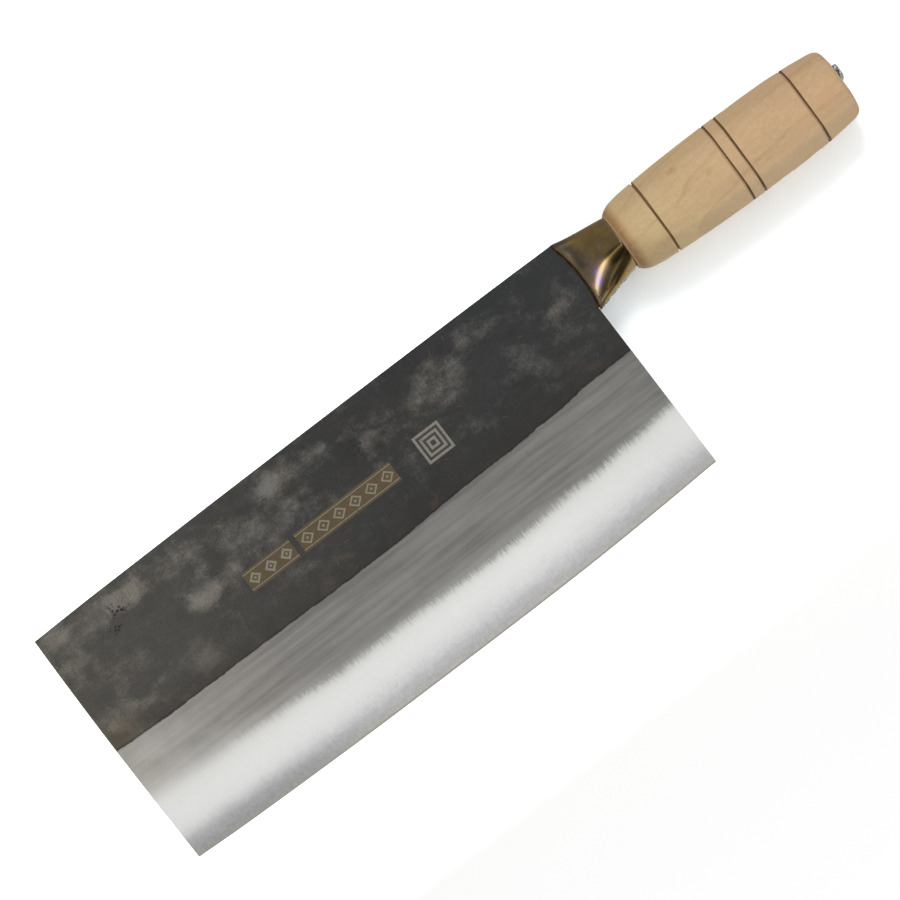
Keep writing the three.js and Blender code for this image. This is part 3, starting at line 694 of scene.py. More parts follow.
def forge_scale_material(name, side, seed, ground_seed):
    n = material_net(name)

    def grain(size_x, size_z, shift, detail, rough=0.5, distortion=0.0):
        return n.noise((size_x, THROUGH, size_z), shift + seed, detail, rough, seed, distortion)

    def cells(size_x, size_z, shift):
        return n.cells((size_x, THROUGH, size_z), shift + seed, seed)

    ground, ground_rough, ground_height = ground_steel(n, ground_seed)
    x, _, z = n.axes
    above_scale, cover = n.attr("above_scale"), n.attr("scale_cover")
    tip, heel = x.ease(-20, -165), x.ease(-30, 50)

    # soft clouds of worn scale over a dark ground
    broad = grain(44, 30, 1, 3, 0.5)
    cloud_large = grain(17, 12, 3, 4, 0.52, 0.35)
    cloud = grain(7.0, 5.6, 7, 5, 0.60, 0.25)
    cloud_small = grain(2.6, 2.0, 9, 4, 0.65)
    fine = grain(0.85, 0.70, 11, 4, 0.80)
    brush_along = grain(7.5, 0.42, 13, 3, 0.6)
    brush_across = grain(0.8, 4.0, 17, 3, 0.6)
    warm = grain(17, 13, 19, 3, 0.5).ease(0.40, 0.62)
    dark = n.paint(
        srgb(61, 62, 62),
        (broad.ease(0.36, 0.64), srgb(69, 69, 68)),
        (warm * 0.34, srgb(68, 65, 61)),
        (heel * n.attr("below_spine").ease(36, 8, end=0.75), srgb(58, 61, 63)),
        (heel * 0.5, srgb(68, 68, 67)),
        (tip * 0.85, srgb(96, 93, 88)),
    )
    # worn lighter clouds, thinner low on the scale and towards the heel
    bareness = cloud_large * 0.54 + cloud * 0.32 + cloud_small * 0.14
    bareness = bareness + (fine - 0.5) * 0.12 + n.attr("worn")
    brushed = grain(26, 20, 15, 1).ease(0.44, 0.56).between(brush_along, brush_across)
    low_fade = above_scale.ease(3.0, 25.0, start=0.34, end=1.0)
    patch = (
        (bareness + tip * 0.02).ease(0.445, 0.705)
        * (0.62 + brushed * 0.76)
        * x.ease(-122, -148).between(low_fade, 0.82)
        * heel.between(1.0, 0.84)
        * (0.80 + fine * 0.40)
    ).math("MINIMUM", 1.0)
    light = n.mix(warm, srgb(128, 127, 124), srgb(130, 123, 114))
    light = n.mix(tip * 0.7, light, srgb(150, 144, 133))
    color = n.mix(patch * 0.74, dark, light)
    # drifts of tone and a fine grain everywhere
    color = n.tint(color, 0.78 + cloud * 0.44, 0.54 + fine * 0.92, 0.86 + brushed * 0.28)

    # brown near the ground line, with streaks along it, and in the low tip corner
    low = above_scale.ease(9.0, 0.5) * brush_along.ease(0.35, 0.7, start=0.35, end=1.0)
    corner = (x + cloud_small * 8.0).ease(-146.0, -158.0)
    corner = corner * (above_scale + cloud_small * 5.0).ease(15.0, 6.0)
    rust = cloud.ease(0.55, 0.70) * grain(26, 20, 23, 2).ease(0.52, 0.64)

    # black pits: a cluster near the tip's upper corner and a few elsewhere
    def spot(cx, cz, inner, outer):
        dx, dz = x - cx, z - cz
        radius = (dx * dx + dz * dz * 2.0).math("SQRT")
        return (radius + cloud_small * 4.0).ease(outer, inner)

    pit_field = spot(-138.3, 86.4, 3.5, 8.0).max(spot(-143.3, 81.5, 2.5, 5.5))
    pit_field = pit_field.max(spot(-40.0, 80.0, 2.0, 9.0) * 0.5)
    pits = cells(1.35, 0.95, 31).ease(0.56, 0.38) * pit_field
    pits = pits * grain(2.6, 1.6, 33, 2, 0.6).ease(0.38, 0.48)
    small_pits = cells(1.6, 1.4, 37).ease(0.13, 0.06) * grain(20, 14, 39, 2).ease(0.54, 0.64)
    pits = pits.max(small_pits * 0.6)

    # short bright scratches, in two directions
    warp = grain(14, 14, 43, 2)
    line = (x * 0.043 + z * 0.117 + warp * 0.9).math("FRACT")
    shallow = abs(line - 0.5).ease(0.009, 0.003) * grain(6, 3, 47, 2, 0.7).ease(0.64, 0.70)
    line = (x * 0.16 - z * 0.05 + warp * 0.6).math("FRACT")
    steep = abs(line - 0.5).ease(0.016, 0.006) * grain(3, 5, 53, 2, 0.7).ease(0.65, 0.71)

    # worn bright corners at the tip and the spine
    wear = n.noise((3, 3, 2.2), 59 + seed, 3, 0.6, seed)
    tip_wear = (x + wear * 1.2).ease(-166.9, -167.8)
    top_wear = n.attr("below_spine").ease(0.30, 0.05) * wear.ease(0.4, 0.62)
    color = n.paint(
        color,
        (low * 0.55, srgb(66, 61, 55)),
        (corner * 0.42, srgb(116, 104, 86)),
        (rust * 0.26, srgb(104, 84, 64)),
        (above_scale.ease(1.0, 0.15) * 0.55, srgb(46, 44, 41)),  # where the scale stops
        (pits * 0.85, srgb(32, 31, 30)),
        (shallow.max(steep) * 0.55, srgb(142, 139, 133)),
        (tip_wear * 0.6, srgb(121, 108, 80)),
        (top_wear * 0.5, srgb(112, 109, 104)),
    )
    rough = patch.between(0.58, 0.48) + (fine - 0.5) * 0.14
    height = cloud * 0.9 + fine * 0.40 - pits * 0.55 + brushed * 0.25

    if side < 0:
        panels, strokes, square, frames = panel_marks(n)
        kept = n.noise((1.1, THROUGH, 0.9), 61, 4, 0.7).ease(0.30, 0.50, start=0.55, end=1.0)
        color = n.paint(
            color,
            (panels * (kept * 0.95), n.tint(srgb(106, 93, 70), 0.8 + fine * 0.4)),
            (strokes * (kept * 0.92), n.tint(srgb(151, 146, 131), 0.78 + fine * 0.44)),
            (square * (kept * 0.9), n.tint(srgb(152, 149, 140), 0.8 + fine * 0.4)),
            (frames * 0.9, srgb(66, 64, 60)),
        )
        rough = panels.max(square).between(rough, 0.52)
        height = height - strokes.max(square * 0.5) * 0.15

    # below the ragged line: bare ground steel
    scale_normal = n.bump(height, distance_mm=0.055, strength=0.75)
    ground_normal = n.bump(ground_height, distance_mm=0.010, strength=0.55)
    return n.finish(
        n.mix(cover, ground, color),
        roughness=cover.between(ground_rough, rough),
        metallic=cover.between(1.0, 0.82),
        normal=n.mix(cover, ground_normal, scale_normal, "VECTOR"),
    )


def core_material():
    n = material_net("hard_steel_core")
    color, rough, height = ground_steel(n, FACES["left"]["ground_seed"])
    micro = n.attr("above_edge").ease(0.85, 0.6)
    scratch = n.noise((0.12, THROUGH, 1.4), 3, detail=3, rough=0.7)
    honed = n.tint(srgb(180, 177, 170), 0.72 + scratch * 0.6)
    # the end faces at spine, tip and heel are stained like the cladding
    stained = n.attr("above_edge").ease(20, 30) * 0.8
    stain = n.tint(srgb(70, 67, 62), 0.7 + n.noise((2, 2, 2), 5, detail=4) * 0.6)
    return n.finish(
        n.paint(color, (micro, honed), (stained, stain)),
        roughness=micro.between(rough, 0.34), metallic=1.0,
        normal=n.bump(height, distance_mm=0.008, strength=0.5),
    )


# ================================================================== collar
GRIP_X, GRIP_Z = 73.4, 81.63  # where the grip's axis starts
GRIP_DROOP, GRIP_DROP = 0.0164, -0.4  # axis slope in radians; wood's offset below the axis
MOUTH_TOP, MOUTH_BOTTOM, MOUTH_BOW = (53.5, 95.1), (54.05, 66.85), 1.85  # (x, z), (x, z), x
MOUTH_MID = (MOUTH_TOP[1] + MOUTH_BOTTOM[1]) / 2
MOUTH_HALF_HEIGHT = (MOUTH_TOP[1] - MOUTH_BOTTOM[1]) / 2
MOUTH_HALF, MOUTH_CORNER = 2.5, 2.0
REAR_X, REAR_RADIUS, WALL = 73.47, 10.05, 1.1
MOUTH_SIDE, MOUTH_CORNER_END = math.radians(64), math.radians(86)  # angles on the rear circle


def mouth_x(z):
    q = (z - MOUTH_MID) / MOUTH_HALF_HEIGHT
    return lerp(MOUTH_BOTTOM[0], MOUTH_TOP[0], (q + 1) / 2) + MOUTH_BOW * (1 - q * q)


def collar_point(angle, s, inset):
    """A point on the collar. The angle goes round the rear circle, 0 at +Y and 90 degrees
    at the top; s runs from the mouth (0) to the rear (1); inset is below the outer surface."""
    angle, s, inset = np.broadcast_arrays(angle, s, inset)
    half_z = MOUTH_HALF_HEIGHT - inset
    half_y = MOUTH_HALF - inset
    radius = np.maximum(0.25, MOUTH_CORNER - inset)
    flat_z, flat_y = half_z - radius, np.maximum(0.02, half_y - radius)
    sign_y, sign_z = np.sign(np.cos(angle) + 1e-12), np.sign(np.sin(angle) + 1e-12)
    # the mouth's outline by the angle folded into the first quadrant
    fold = np.arctan2(np.abs(np.sin(angle)), np.abs(np.cos(angle)))
    along_corner = (fold - MOUTH_SIDE) / (MOUTH_CORNER_END - MOUTH_SIDE)
    arc = np.clip(along_corner, 0, 1) * math.pi / 2
    y = np.where(fold < MOUTH_SIDE, half_y, flat_y + radius * np.cos(arc))
    to_middle = (math.pi / 2 - fold) / (math.pi / 2 - MOUTH_CORNER_END)
    y = np.where(fold > MOUTH_CORNER_END, flat_y * np.clip(to_middle, 0, 1), y)
    z = np.where(fold < MOUTH_SIDE, flat_z * fold / MOUTH_SIDE, flat_z + radius * np.sin(arc))
    z = np.where(fold > MOUTH_CORNER_END, half_z, z)
    mouth_z = MOUTH_MID + sign_z * z
    rear = REAR_RADIUS - inset
    rear_x = REAR_X + GRIP_DROOP * rear * np.sin(angle)
    flare = s + 0.13 * np.sin(math.pi * s) * (1 - s)
    return points_from(
        lerp(mouth_x(mouth_z), rear_x, s),
        lerp(sign_y * y, rear * np.cos(angle), s),
        lerp(mouth_z, GRIP_Z + rear * np.sin(angle), flare),
    )


def collar_shell():
    """Rolled sheet from one edge of the lower seam round to the other, with rounded rims."""
    gap = math.radians(3.0)
    angles = np.linspace(-math.pi / 2 + gap, 3 * math.pi / 2 - gap, 260)
    # the sheet's section, out along the outer skin and back along the inner: (s, inset)
    section = [(0.0, 0.42), (0.004, 0.26), (0.012, 0.12), (0.022, 0.03)]
    section += [(s, 0.0) for s in np.linspace(0.035, 0.975, 46)]
    section += [(0.985, 0.03), (0.994, 0.12), (0.999, 0.26), (1.0, 0.4)]
    section += [(1.0, WALL - 0.15), (0.99, WALL)]
    section += [(s, WALL) for s in np.linspace(0.96, 0.05, 16)]
    section += [(0.012, WALL), (0.0, WALL - 0.12)]
    s, inset = np.array(section).T
    grid = collar_point(angles[:, None], s, inset)
    # faint unevenness, pushed out from the axis
    wobble = 0.05 * noise(np.degrees(angles)[:, None], s, 38, 0.5, 17, 2)
    outwards = points_from(0.0, grid[..., 1], grid[..., 2] - GRIP_Z)
    outwards = outwards / (np.linalg.norm(outwards, axis=-1, keepdims=True) + 1e-9)
    return loft("collar_shell", grid + outwards * wobble[..., None], 50, {
        "along": np.tile(s, len(angles)), "around": np.repeat(np.degrees(angles), len(s)),
    })


def seam_bead():
    """The low, rippled weld bead along the collar's underside."""
    s = np.linspace(0.02, 0.985, 150)[:, None]
    centre = collar_point(-math.pi / 2, s, 0.30)
    ripple = 1 + 0.16 * np.sin(s * 128 + 1.3 * np.sin(s * 19)) + 0.22 * noise(s, 0, 0.06, 1, 5, 3)
    ends = np.sqrt(np.clip(1 - (2 * s - 1) ** 16, 0, 1)) * 0.9 + 0.1
    around = np.linspace(0, 2 * math.pi, 20, endpoint=False)
    wander = 0.16 * noise(s, 0, 0.14, 1, 8, 2)
    grid = points_from(
        centre[..., 0],
        wander + 0.62 * ripple * ends * np.cos(around),
        centre[..., 2] + 0.42 * ripple * ends * np.sin(around),
    )
    return loft("seam_weld_bead", grid, 60)


def braze_fillet(name, side):
    """A concave three-sided bead from the blade's face up on to the collar's rim."""
    q = np.linspace(-1, 1, 130)
    z = MOUTH_MID + q * (MOUTH_HALF_HEIGHT - 1.2)
    x = mouth_x(z)
    fade = 1 - np.abs(q) ** 14
    swell = np.sqrt(np.clip(fade, 0, 1)) * (1 + 0.22 * noise(z, 0, 2.2, 1, 31 + side, 3))
    lap = 0.62 * swell + 0.10
    rise = 1.35 * np.sqrt(np.clip(fade, 0.01, 1)) * (1 + 0.06 * noise(z, 0, 3, 1, 35 + side, 2))
    face_y = plate_half(HEEL_X) + 0.01
    section = [(x - lap * (1 - k) ** 1.6 + 0.42 * k**3, face_y + rise * k**1.5 * 0.92)
               for k in np.linspace(0, 1, 9)]
    section += [(x + 0.55, face_y + rise * 0.55), (x + 0.35, face_y + 0.1), (x - 0.1, face_y)]
    return loft(name, np.stack([points_from(px, side * py, z) for px, py in section], 1), 60)


def collar_material():
    n = material_net("lacquered_heat_tinted_steel")
    s, z = n.attr("along"), n.axes[2]
    cloud = n.noise((5.5, 6, 4.5), 2, detail=5, rough=0.6)
    cloud_fine = n.noise((1.8, 2.2, 1.5), 9, detail=5, rough=0.62)
    brushed = n.noise((0.32, 0.32, 4.2), 4, detail=3, rough=0.6)
    along = n.noise((6.0, 0.22, 0.22), 14, detail=3, rough=0.6)

    def ragged(amount):
        """The place along the collar, made uneven."""
        return s + (cloud_fine - 0.5) * amount

    # greyer and darker towards the mouth, cleaner bronze towards the rear
    near_mouth = ragged(0.16).ease(0.34, 0.16) * z.ease(74.5, 79.0)
    # pale and violet smears square to the axis
    reach = s.ease(0.13, 0.22) * s.ease(0.56, 0.34)
    smear = n.noise((0.6, 2, 3.6), 21, detail=4, rough=0.62) * 0.7 + cloud_fine * 0.3
    pale = z.ease(88.0, 83.5) * z.ease(73.0, 75.5) * reach * smear.ease(0.46, 0.60)
    rear_pale = s.ease(0.52, 0.62) * s.ease(0.84, 0.74) * (z.ease(81.5, 83.0) * z.ease(87.0, 85.0))
    # painted highlight: a paler, duller base in the band where the strip light's reflection falls,
    # to tint that highlight
    warm = z.ease(72.0, 74.5) * z.ease(83.0, 81.0) * s.ease(0.62, 0.45)
    violet = z.ease(82.0, 79.5) * z.ease(72.5, 74.5) * (s.ease(0.14, 0.20) * s.ease(0.36, 0.27))
    violet = violet * n.noise((0.7, 2, 2.8), 27, detail=4, rough=0.6).ease(0.46, 0.58)
    # dark varnish at the mouth and in spots low down
    mouth = ragged(0.10).ease(0.13, 0.03)
    spots = n.cells((1.5, 1.5, 1.2), 5).ease(0.26, 0.12) * z.ease(73.0, 71.0)
    color = n.paint(
        srgb(136, 113, 73),
        (cloud.ease(0.35, 0.65), srgb(152, 127, 82)),
        (cloud_fine.ease(0.48, 0.68) * 0.35, srgb(122, 108, 88)),
        (ragged(0.2).ease(0.30, 0.08, end=0.75), srgb(124, 110, 92)),
        (near_mouth * 0.85, srgb(104, 95, 80)),
        (pale * 0.50, srgb(140, 138, 148)),
        (rear_pale * smear.ease(0.44, 0.60, end=0.45), srgb(138, 138, 146)),
        # painted highlight tint in the reflection band
        (warm * 0.5, srgb(156, 136, 112)),
        (violet * 0.70, srgb(126, 110, 184)),
        (ragged(0.05).ease(0.955, 0.99) * 0.55, srgb(176, 164, 142)),  # bare rear rim
        (mouth * 0.62, srgb(92, 76, 52)),
        (spots * 0.8, srgb(44, 34, 28)),
    )
    # painted shade: the side band is darkened towards the rear, so the strip light's reflection
    # fades there
    rear_highlight_shade = s.ease(0.42, 0.74) * (z.ease(75.5, 77.5) * z.ease(82.0, 80.6))
    color = n.tint(color, 0.86 + along * 0.28, 0.90 + brushed * 0.20,
                   rear_highlight_shade.ease(0.0, 1.0, start=1.0, end=0.27))
    rough = s.ease(0.4, 0.95, start=0.055, end=0.11) + cloud_fine * 0.05
    rough = rough + mouth * 0.2 + z.ease(84.0, 90.0) * 0.12
    normal = n.bump(brushed * 0.5 + cloud * 1.2, distance_mm=0.008, strength=0.30)
    return n.finish(color, roughness=rough, metallic=1.0, normal=normal)


def weld_material(name, dark, light):
    n = material_net(name)
    grain = n.noise((0.7, 0.7, 0.7), detail=5, rough=0.65)
    patches = n.noise((2.2, 2.2, 2.2), 5, detail=4, rough=0.6)
    color = n.tint(n.mix(patches.ease(0.4, 0.62), dark, light), 0.7 + grain * 0.6)
    return n.finish(color, roughness=0.3 + grain * 0.3, metallic=0.85,
                    normal=n.bump(grain, distance_mm=0.08, strength=0.7))


# ================================================================== grip
BUTT = 93.15  # where the wood's side ends, along the grip
half_depth = curve_through([  # distance along the grip, half depth of the wood
    (0, 10.8), (0.68, 11.45), (1.7, 12.15), (3.74, 13.04), (7.8, 13.8), (11.2, 14.16),
    (18, 14.6), (24.8, 14.96), (31.6, 15.18), (38.4, 15.32), (45.2, 15.4), (58.8, 15.4),
    (65.6, 15.3), (72.4, 15.1), (79.2, 14.68), (86, 13.97), (88.4, 13.68), (89.9, 13.4),
    (91.0, 12.95), (91.8, 12.3), (92.4, 11.2), (92.8, 9.6), (BUTT, 6.8), (93.4, 1.6),
])
GROOVES = [14.55, 45.15, 50.1, 77.6]
# painted shade: each burnt line sits behind its groove's centre, on the groove's shaded wall
BURN_SHADE_OFFSETS = [0.02, 0.24, 0.16, 0.34]  # of each burnt line behind its groove's centre
GROOVE_HALF, GROOVE_DEPTH = 0.5, 0.8
GROOVE_ROWS = mirrored([0.18, 0.34, 0.44, 0.51, 0.60, 0.72, 0.86, 1.1])
CHAMFER_ANGLE = math.radians(51)
FACET_POWER = 30  # sharpness of the corners between flats

TANG_ROOT, TANG_HALF_ROOT, TANG_HALF_BUTT = -9.0, 2.6, 1.9
CLENCH_OUT, CLENCH_THICK = 95.16, 2.3  # the tang's end, bent over at the butt
TANG_CLEARANCE = 0.22


def from_grip(s, y, m):
    """Grip axes to the object's: s along the axis, y sideways, m towards the spine."""
    c, d = math.cos(GRIP_DROOP), math.sin(GRIP_DROOP)
    return points_from(GRIP_X + s * c + m * d, y, GRIP_Z - s * d + m * c)


def wood_section(angle, s, depth):
    """The wood's radius round its axis, and the share of a chamfer in each direction."""
    faceted = smoothstep(5, 19, s)
    half_y = depth * lerp(0.965, 0.87, smoothstep(0, 22, s))
    c, d = np.cos(angle), np.sin(angle)
    oval = 1 / np.hypot(c / half_y, d / depth)
    side = half_y * (1 - 0.05 * d * d)
    top = depth * (1 - 0.03 * c * c)
    chamfer_y, chamfer_z = math.cos(CHAMFER_ANGLE), math.sin(CHAMFER_ANGLE)
    planes = [(1, 0, side), (-1, 0, side), (0, 1, top), (0, -1, top)]
    planes += [(sy * chamfer_y, sz * chamfer_z, depth * 1.05) for sz in (1, -1) for sy in (1, -1)]
    total, flat, chamfer = 0, 0, 0
    for plane_y, plane_z, distance in planes:
        term = np.maximum(0, (plane_y * c + plane_z * d) / distance)
        total = total + term**FACET_POWER
        if plane_y * plane_z == 0:
            flat = np.maximum(flat, term)
        else:
            chamfer = np.maximum(chamfer, term)
    radius = lerp(oval, total ** (-1 / FACET_POWER), faceted)
    return radius, smoothstep(-0.035, 0.035, chamfer - flat) * faceted


def tang_half(s):
    end = CLENCH_OUT - CLENCH_THICK * 0.6
    return lerp(TANG_HALF_ROOT, TANG_HALF_BUTT, (s - TANG_ROOT) / (end - TANG_ROOT))


def wood_stations():
    """Places along the grip, with close rows at the grooves."""
    spans = ((0.0, 12, 34), (12, 88, 110), (88, BUTT, 40))
    stations = {s for span in spans for s in np.round(np.linspace(*span), 4)}
    stations = [s for s in stations if all(abs(s - groove) > 1.2 for groove in GROOVES)]
    for groove in GROOVES:
        stations += list(np.round(groove + GROOVE_ROWS, 4))
    return np.array(sorted(stations))[:, None]


def wood_side(angle):
    """Stations, radius, burnt groove with painted shade, and chamfer share over the wood's outer
    side.
    """
    s = wood_stations()
    radius, facet = wood_section(angle, s, half_depth(s))
    degrees = np.degrees(angle)
    groove_burn_and_shade = np.zeros_like(radius)
    for k, (groove, burn_shade_shift) in enumerate(zip(GROOVES, BURN_SHADE_OFFSETS)):
        off = np.abs(s - groove) + 0.05 * noise(degrees, k, 25, 1, 71 + k, 2)
        cut = np.sqrt(np.clip(1 - (off / GROOVE_HALF) ** 2, 0, 1)) * 0.55
        radius = radius - GROOVE_DEPTH * (cut + 0.45 * smoothstep(0.55, 0.34, off))
        radius = radius + 0.05 * np.exp(-((off - 0.66) / 0.14) ** 2)
        # burnt line shifted towards the groove's shaded wall: burn with painted shade
        off = np.abs(s - groove - burn_shade_shift) + 0.04 * noise(degrees, k, 25, 1, 91 + k, 2)
        burnt_and_shaded = np.sqrt(np.clip(1 - (off / GROOVE_HALF) ** 2, 0, 1))
        groove_burn_and_shade = np.maximum(groove_burn_and_shade, smoothstep(0.42, 0.97, burnt_and_shaded))
    # sanded unevenness and a few dings
    radius = radius + 0.07 * noise(s, degrees, 16, 46, 61, 3) * smoothstep(0, 4, s)
    radius = radius - 0.12 * smoothstep(0.68, 0.95, noise(s, degrees, 5.5, 24, 63, 1))
    return s, radius, groove_burn_and_shade, facet


def handle():
    """Turned and flatted wood, with the tang's square hole right through it."""
    around = 176
    angle = np.linspace(0, 2 * math.pi, around, endpoint=False)
    c, d = np.cos(angle), np.sin(angle)
    side_s, radius, burnt_and_shaded, facet = wood_side(angle)

    def hole(s):
        return (tang_half(s) + TANG_CLEARANCE) / np.maximum(np.abs(c), np.abs(d))

    # rings of points: s, y, m, "groove" attribute, "along" attribute
    rings = [(side_s, radius * c, GRIP_DROP + radius * d, burnt_and_shaded, side_s)]
    # butt: in from the last outer ring to the hole, dented under the clenched tang
    last = radius[-1]
    for k in np.linspace(0, 1, 30)[1:]:
        r = lerp(last, hole(BUTT), k)
        y, m = r * c, lerp(GRIP_DROP, 0.0, k) + r * d
        dome = BUTT + 0.27 * (1 - (r / last) ** 2)
        dent = smoothstep(3.3, 2.75, np.abs(y)) * smoothstep(-2.75, -2.2, m)
        dent = dent * smoothstep(5.95, 5.4, m)
        s = lerp(dome, np.minimum(dome, 92.75), dent) + 0.03 * noise(y, m, 2.5, 2.5, 67, 2)
        rings.append((s, y, m, 0.0, s))
    # through the hole and out at the front
    for s in (91.0, 80.0, 55.0, 30.0, 8.0, 0.3):
        rings.append((s, hole(s) * c, hole(s) * d, 1.0, s))
    for k in np.linspace(0, 1, 12)[:-1]:
        r = lerp(hole(0.0), radius[0], k)
        rings.append((0.02 if k == 0 else 0.0, r * c, lerp(0.0, GRIP_DROP, k) + r * d, 0.5, 0.0))
    grid = np.concatenate([
        np.stack(np.broadcast_arrays(*(np.atleast_2d(v) for v in ring)), -1) for ring in rings
    ])
    s, y, m, groove, along = np.moveaxis(grid, -1, 0)
    facets = np.zeros(s.shape)
    facets[:len(facet)] = facet
    return make_object(
        "wooden_grip", from_grip(s, y, m).reshape(-1, 3),
        grid_faces(len(s), around, wrap_u=True), 50,
        {"groove": groove.ravel(), "along": along.ravel(), "facet": facets.ravel()},
    )


WOOD_STOPS = [  # collar to butt
    (0.0, srgb(196, 170, 126)), (0.20, srgb(199, 172, 128)), (0.42, srgb(200, 169, 129)),
    (0.62, srgb(199, 166, 128)), (0.86, srgb(197, 163, 126)), (1.0, srgb(195, 161, 125)),
]
# Knots and light flecks on the left side: x, z, size, squash along x, strength, colour.
BLOTS = [
    (110.6, 82.3, 1.8, 0.8, 0.55, srgb(188, 146, 98)),
    (101.2, 89.9, 1.5, 0.5, 0.40, srgb(160, 128, 94)),
    (84.2, 76.2, 5.0, 0.9, 0.40, srgb(210, 184, 136)),
    (157.5, 77.0, 4.0, 0.9, 0.30, srgb(204, 158, 118)),
]


def wood_material():
    n = material_net("turned_hardwood")
    x, y, z = n.axes
    s, groove, facet = n.attr("along"), n.attr("groove"), n.attr("facet")
    # growth rings: a few slanting sheets through the billet, bent by slow noise
    warp = n.noise((60, 26, 22), 3, detail=2)
    warp_fine = n.noise((15, 9, 5), 8, detail=3)
    sheet = (
        (z - 83.0) * 0.074 + (x - 93.8) * -0.0125 + (y + 13.0) * 0.05
        + (warp - 0.5) * 1.1 + (warp_fine - 0.5) * 0.22
    )
    ring = sheet.math("FRACT")
    late = ring.ease(0.80, 0.975) * ring.ease(1.0, 0.985)
    fine_ring = (sheet * 4.0).math("FRACT")
    late_fine = fine_ring.ease(0.60, 0.95) * fine_ring.ease(1.0, 0.95)
    fibre = n.noise((8.0, 0.45, 0.45), 5, detail=3, rough=0.6)
    fibre_fine = n.noise((2.4, 0.16, 0.16), 9, detail=2, rough=0.6)
    across = n.noise((0.7, 2.6, 2.6), 11, detail=3, rough=0.6)
    blotch = n.noise((15, 8, 8), 13, detail=3, rough=0.55)
    mottle = n.noise((1.9, 1.3, 1.3), 17, detail=4, rough=0.66)
    fleck = n.noise((0.9, 0.7, 0.7), 19, detail=3, rough=0.7)
    color = n.paint(
        s.ramp(0, 94, WOOD_STOPS),
        (blotch.ease(0.40, 0.64, end=0.32), srgb(189, 159, 121)),
        (mottle.ease(0.50, 0.70, end=0.38), srgb(211, 181, 136)),
        (mottle.ease(0.48, 0.30, end=0.34), srgb(183, 148, 112)),
        (late * blotch.ease(0.34, 0.58, start=0.10, end=0.27), srgb(166, 132, 94)),
        (late_fine * 0.10, srgb(170, 136, 98)),
    )
    color = n.tint(color, 0.93 + fibre * 0.14, 0.94 + fibre_fine * 0.12,
                   0.94 + across * 0.12, 0.91 + fleck * 0.18)
    pores = n.cells((2.4, 0.33, 0.33), 6).ease(0.16, 0.06) * 0.25
    color = n.mix(pores, color, srgb(158, 124, 88))

    for cx, cz, size, squash, strength, blot_color in BLOTS:
        dx, dz = (x - cx) * squash, z - cz
        distance = (dx * dx + dz * dz).math("SQRT")
        blot = (distance + (mottle - 0.5) * size).ease(size, size * 0.15) * y.ease(0, -2)
        color = n.mix(blot * strength, color, blot_color)

    # painted shade: the long chamfers and the grip's upper and lower parts are a shade darker and
    # greyer
    color = n.mix(facet * 0.22, color, srgb(160, 138, 106))
    color = n.tint(color, z.ease(84.0, 93.0, start=0.89, end=0.82))
    lower_chamfer_shade = facet.ease(0.30, 0.62) * z.ease(76.0, 73.0)
    color = n.mix(lower_chamfer_shade * 0.30, color, srgb(176, 158, 126))
    color = n.tint(color, z.ease(80.0, 75.5, start=1.0, end=0.955) * (1.0 + lower_chamfer_shade * 0.16))
    # scorched shoulder at the collar, end grain at the butt, burnt rings in the grooves with
    # painted shade on their shaded walls
    scorch = s + (n.noise((5, 2.2, 2.2), 23, detail=4, rough=0.6) - 0.5) * 2.6
    deep_scorch = scorch.ease(2.4, 1.4) * mottle.ease(0.40, 0.6, start=0.25, end=0.7)
    end = (s + (mottle - 0.5) * 0.6).ease(92.2, 93.2)
    end_grain = n.noise((0.5, 0.5, 0.5), 3, detail=3, rough=0.6)
    # burnt groove rings, darkest on the shaded wall as painted shade
    groove_soot_and_shade = (groove + (fibre_fine - 0.5) * 0.3).ease(0.25, 0.85)
    halo = n.noise((2, 2, 2), 31, detail=3)
    color = n.paint(
        color,
        (scorch.ease(8.5, 2.5) * 0.30, srgb(176, 150, 108)),
        (scorch.ease(4.9, 1.6) * 0.80, srgb(151, 117, 78)),
        (deep_scorch, srgb(136, 98, 62)),
        (s.ease(0.75, 0.25, end=0.55), srgb(186, 158, 116)),
        (end * 0.45, n.tint(srgb(184, 148, 106), 0.8 + end_grain * 0.4)),
        (groove_soot_and_shade * 0.90, n.mix(halo, srgb(84, 58, 38), srgb(112, 82, 54))),
    )
    height = fibre * 0.6 + fibre_fine * 0.5 - pores * 1.2 + mottle * 0.5
    normal = n.bump(height, distance_mm=0.045, strength=0.5)
    return n.finish(color, roughness=0.52 + fibre * 0.14, metallic=0.0, normal=normal,
                    specular=0.32)


# ------------------------------------------------------------------ tang
BEND_RADIUS = 1.75
BENT_ARM_S = CLENCH_OUT - 1.06  # where the bent-over arm's centre lies along the grip
# The taper before the bend: s, half thickness, half width.
TANG_TAPER = [(88.5, 1.92, 1.95), (90.2, 1.8, 1.98), (91.2, 1.62, 2.02)]
# The arm after it: share of its length, half thickness, half width.
TANG_ARM = [
    (0.2, 1.04, 2.38), (0.4, 1.02, 2.42), (0.6, 1.0, 2.44), (0.8, 0.98, 2.4),
    (0.92, 0.92, 2.32), (0.98, 0.8, 2.15), (1.0, 0.6, 1.95),
]


def tang_path():
    """Rows of s, m, angle of travel, half thickness in the bend plane, half width."""
    path = [(s, 0.0, 0.0, tang_half(s), tang_half(s)) for s in np.linspace(TANG_ROOT, 86, 14)]
    path += [(s, -0.10, 0.0, half, width) for s, half, width in TANG_TAPER]
    for k in np.linspace(0, 1, 10)[1:]:
        turn = k * math.pi / 2
        path.append((
            BENT_ARM_S - BEND_RADIUS + BEND_RADIUS * math.sin(turn),
            -0.1 + BEND_RADIUS * (1 - math.cos(turn)),
            turn, lerp(1.5, 1.05, k), lerp(2.05, 2.3, k),
        ))
    path += [(BENT_ARM_S - 0.06 * k, lerp(BEND_RADIUS, 5.12, k), math.pi / 2, half, width)
             for k, half, width in TANG_ARM]
    return path


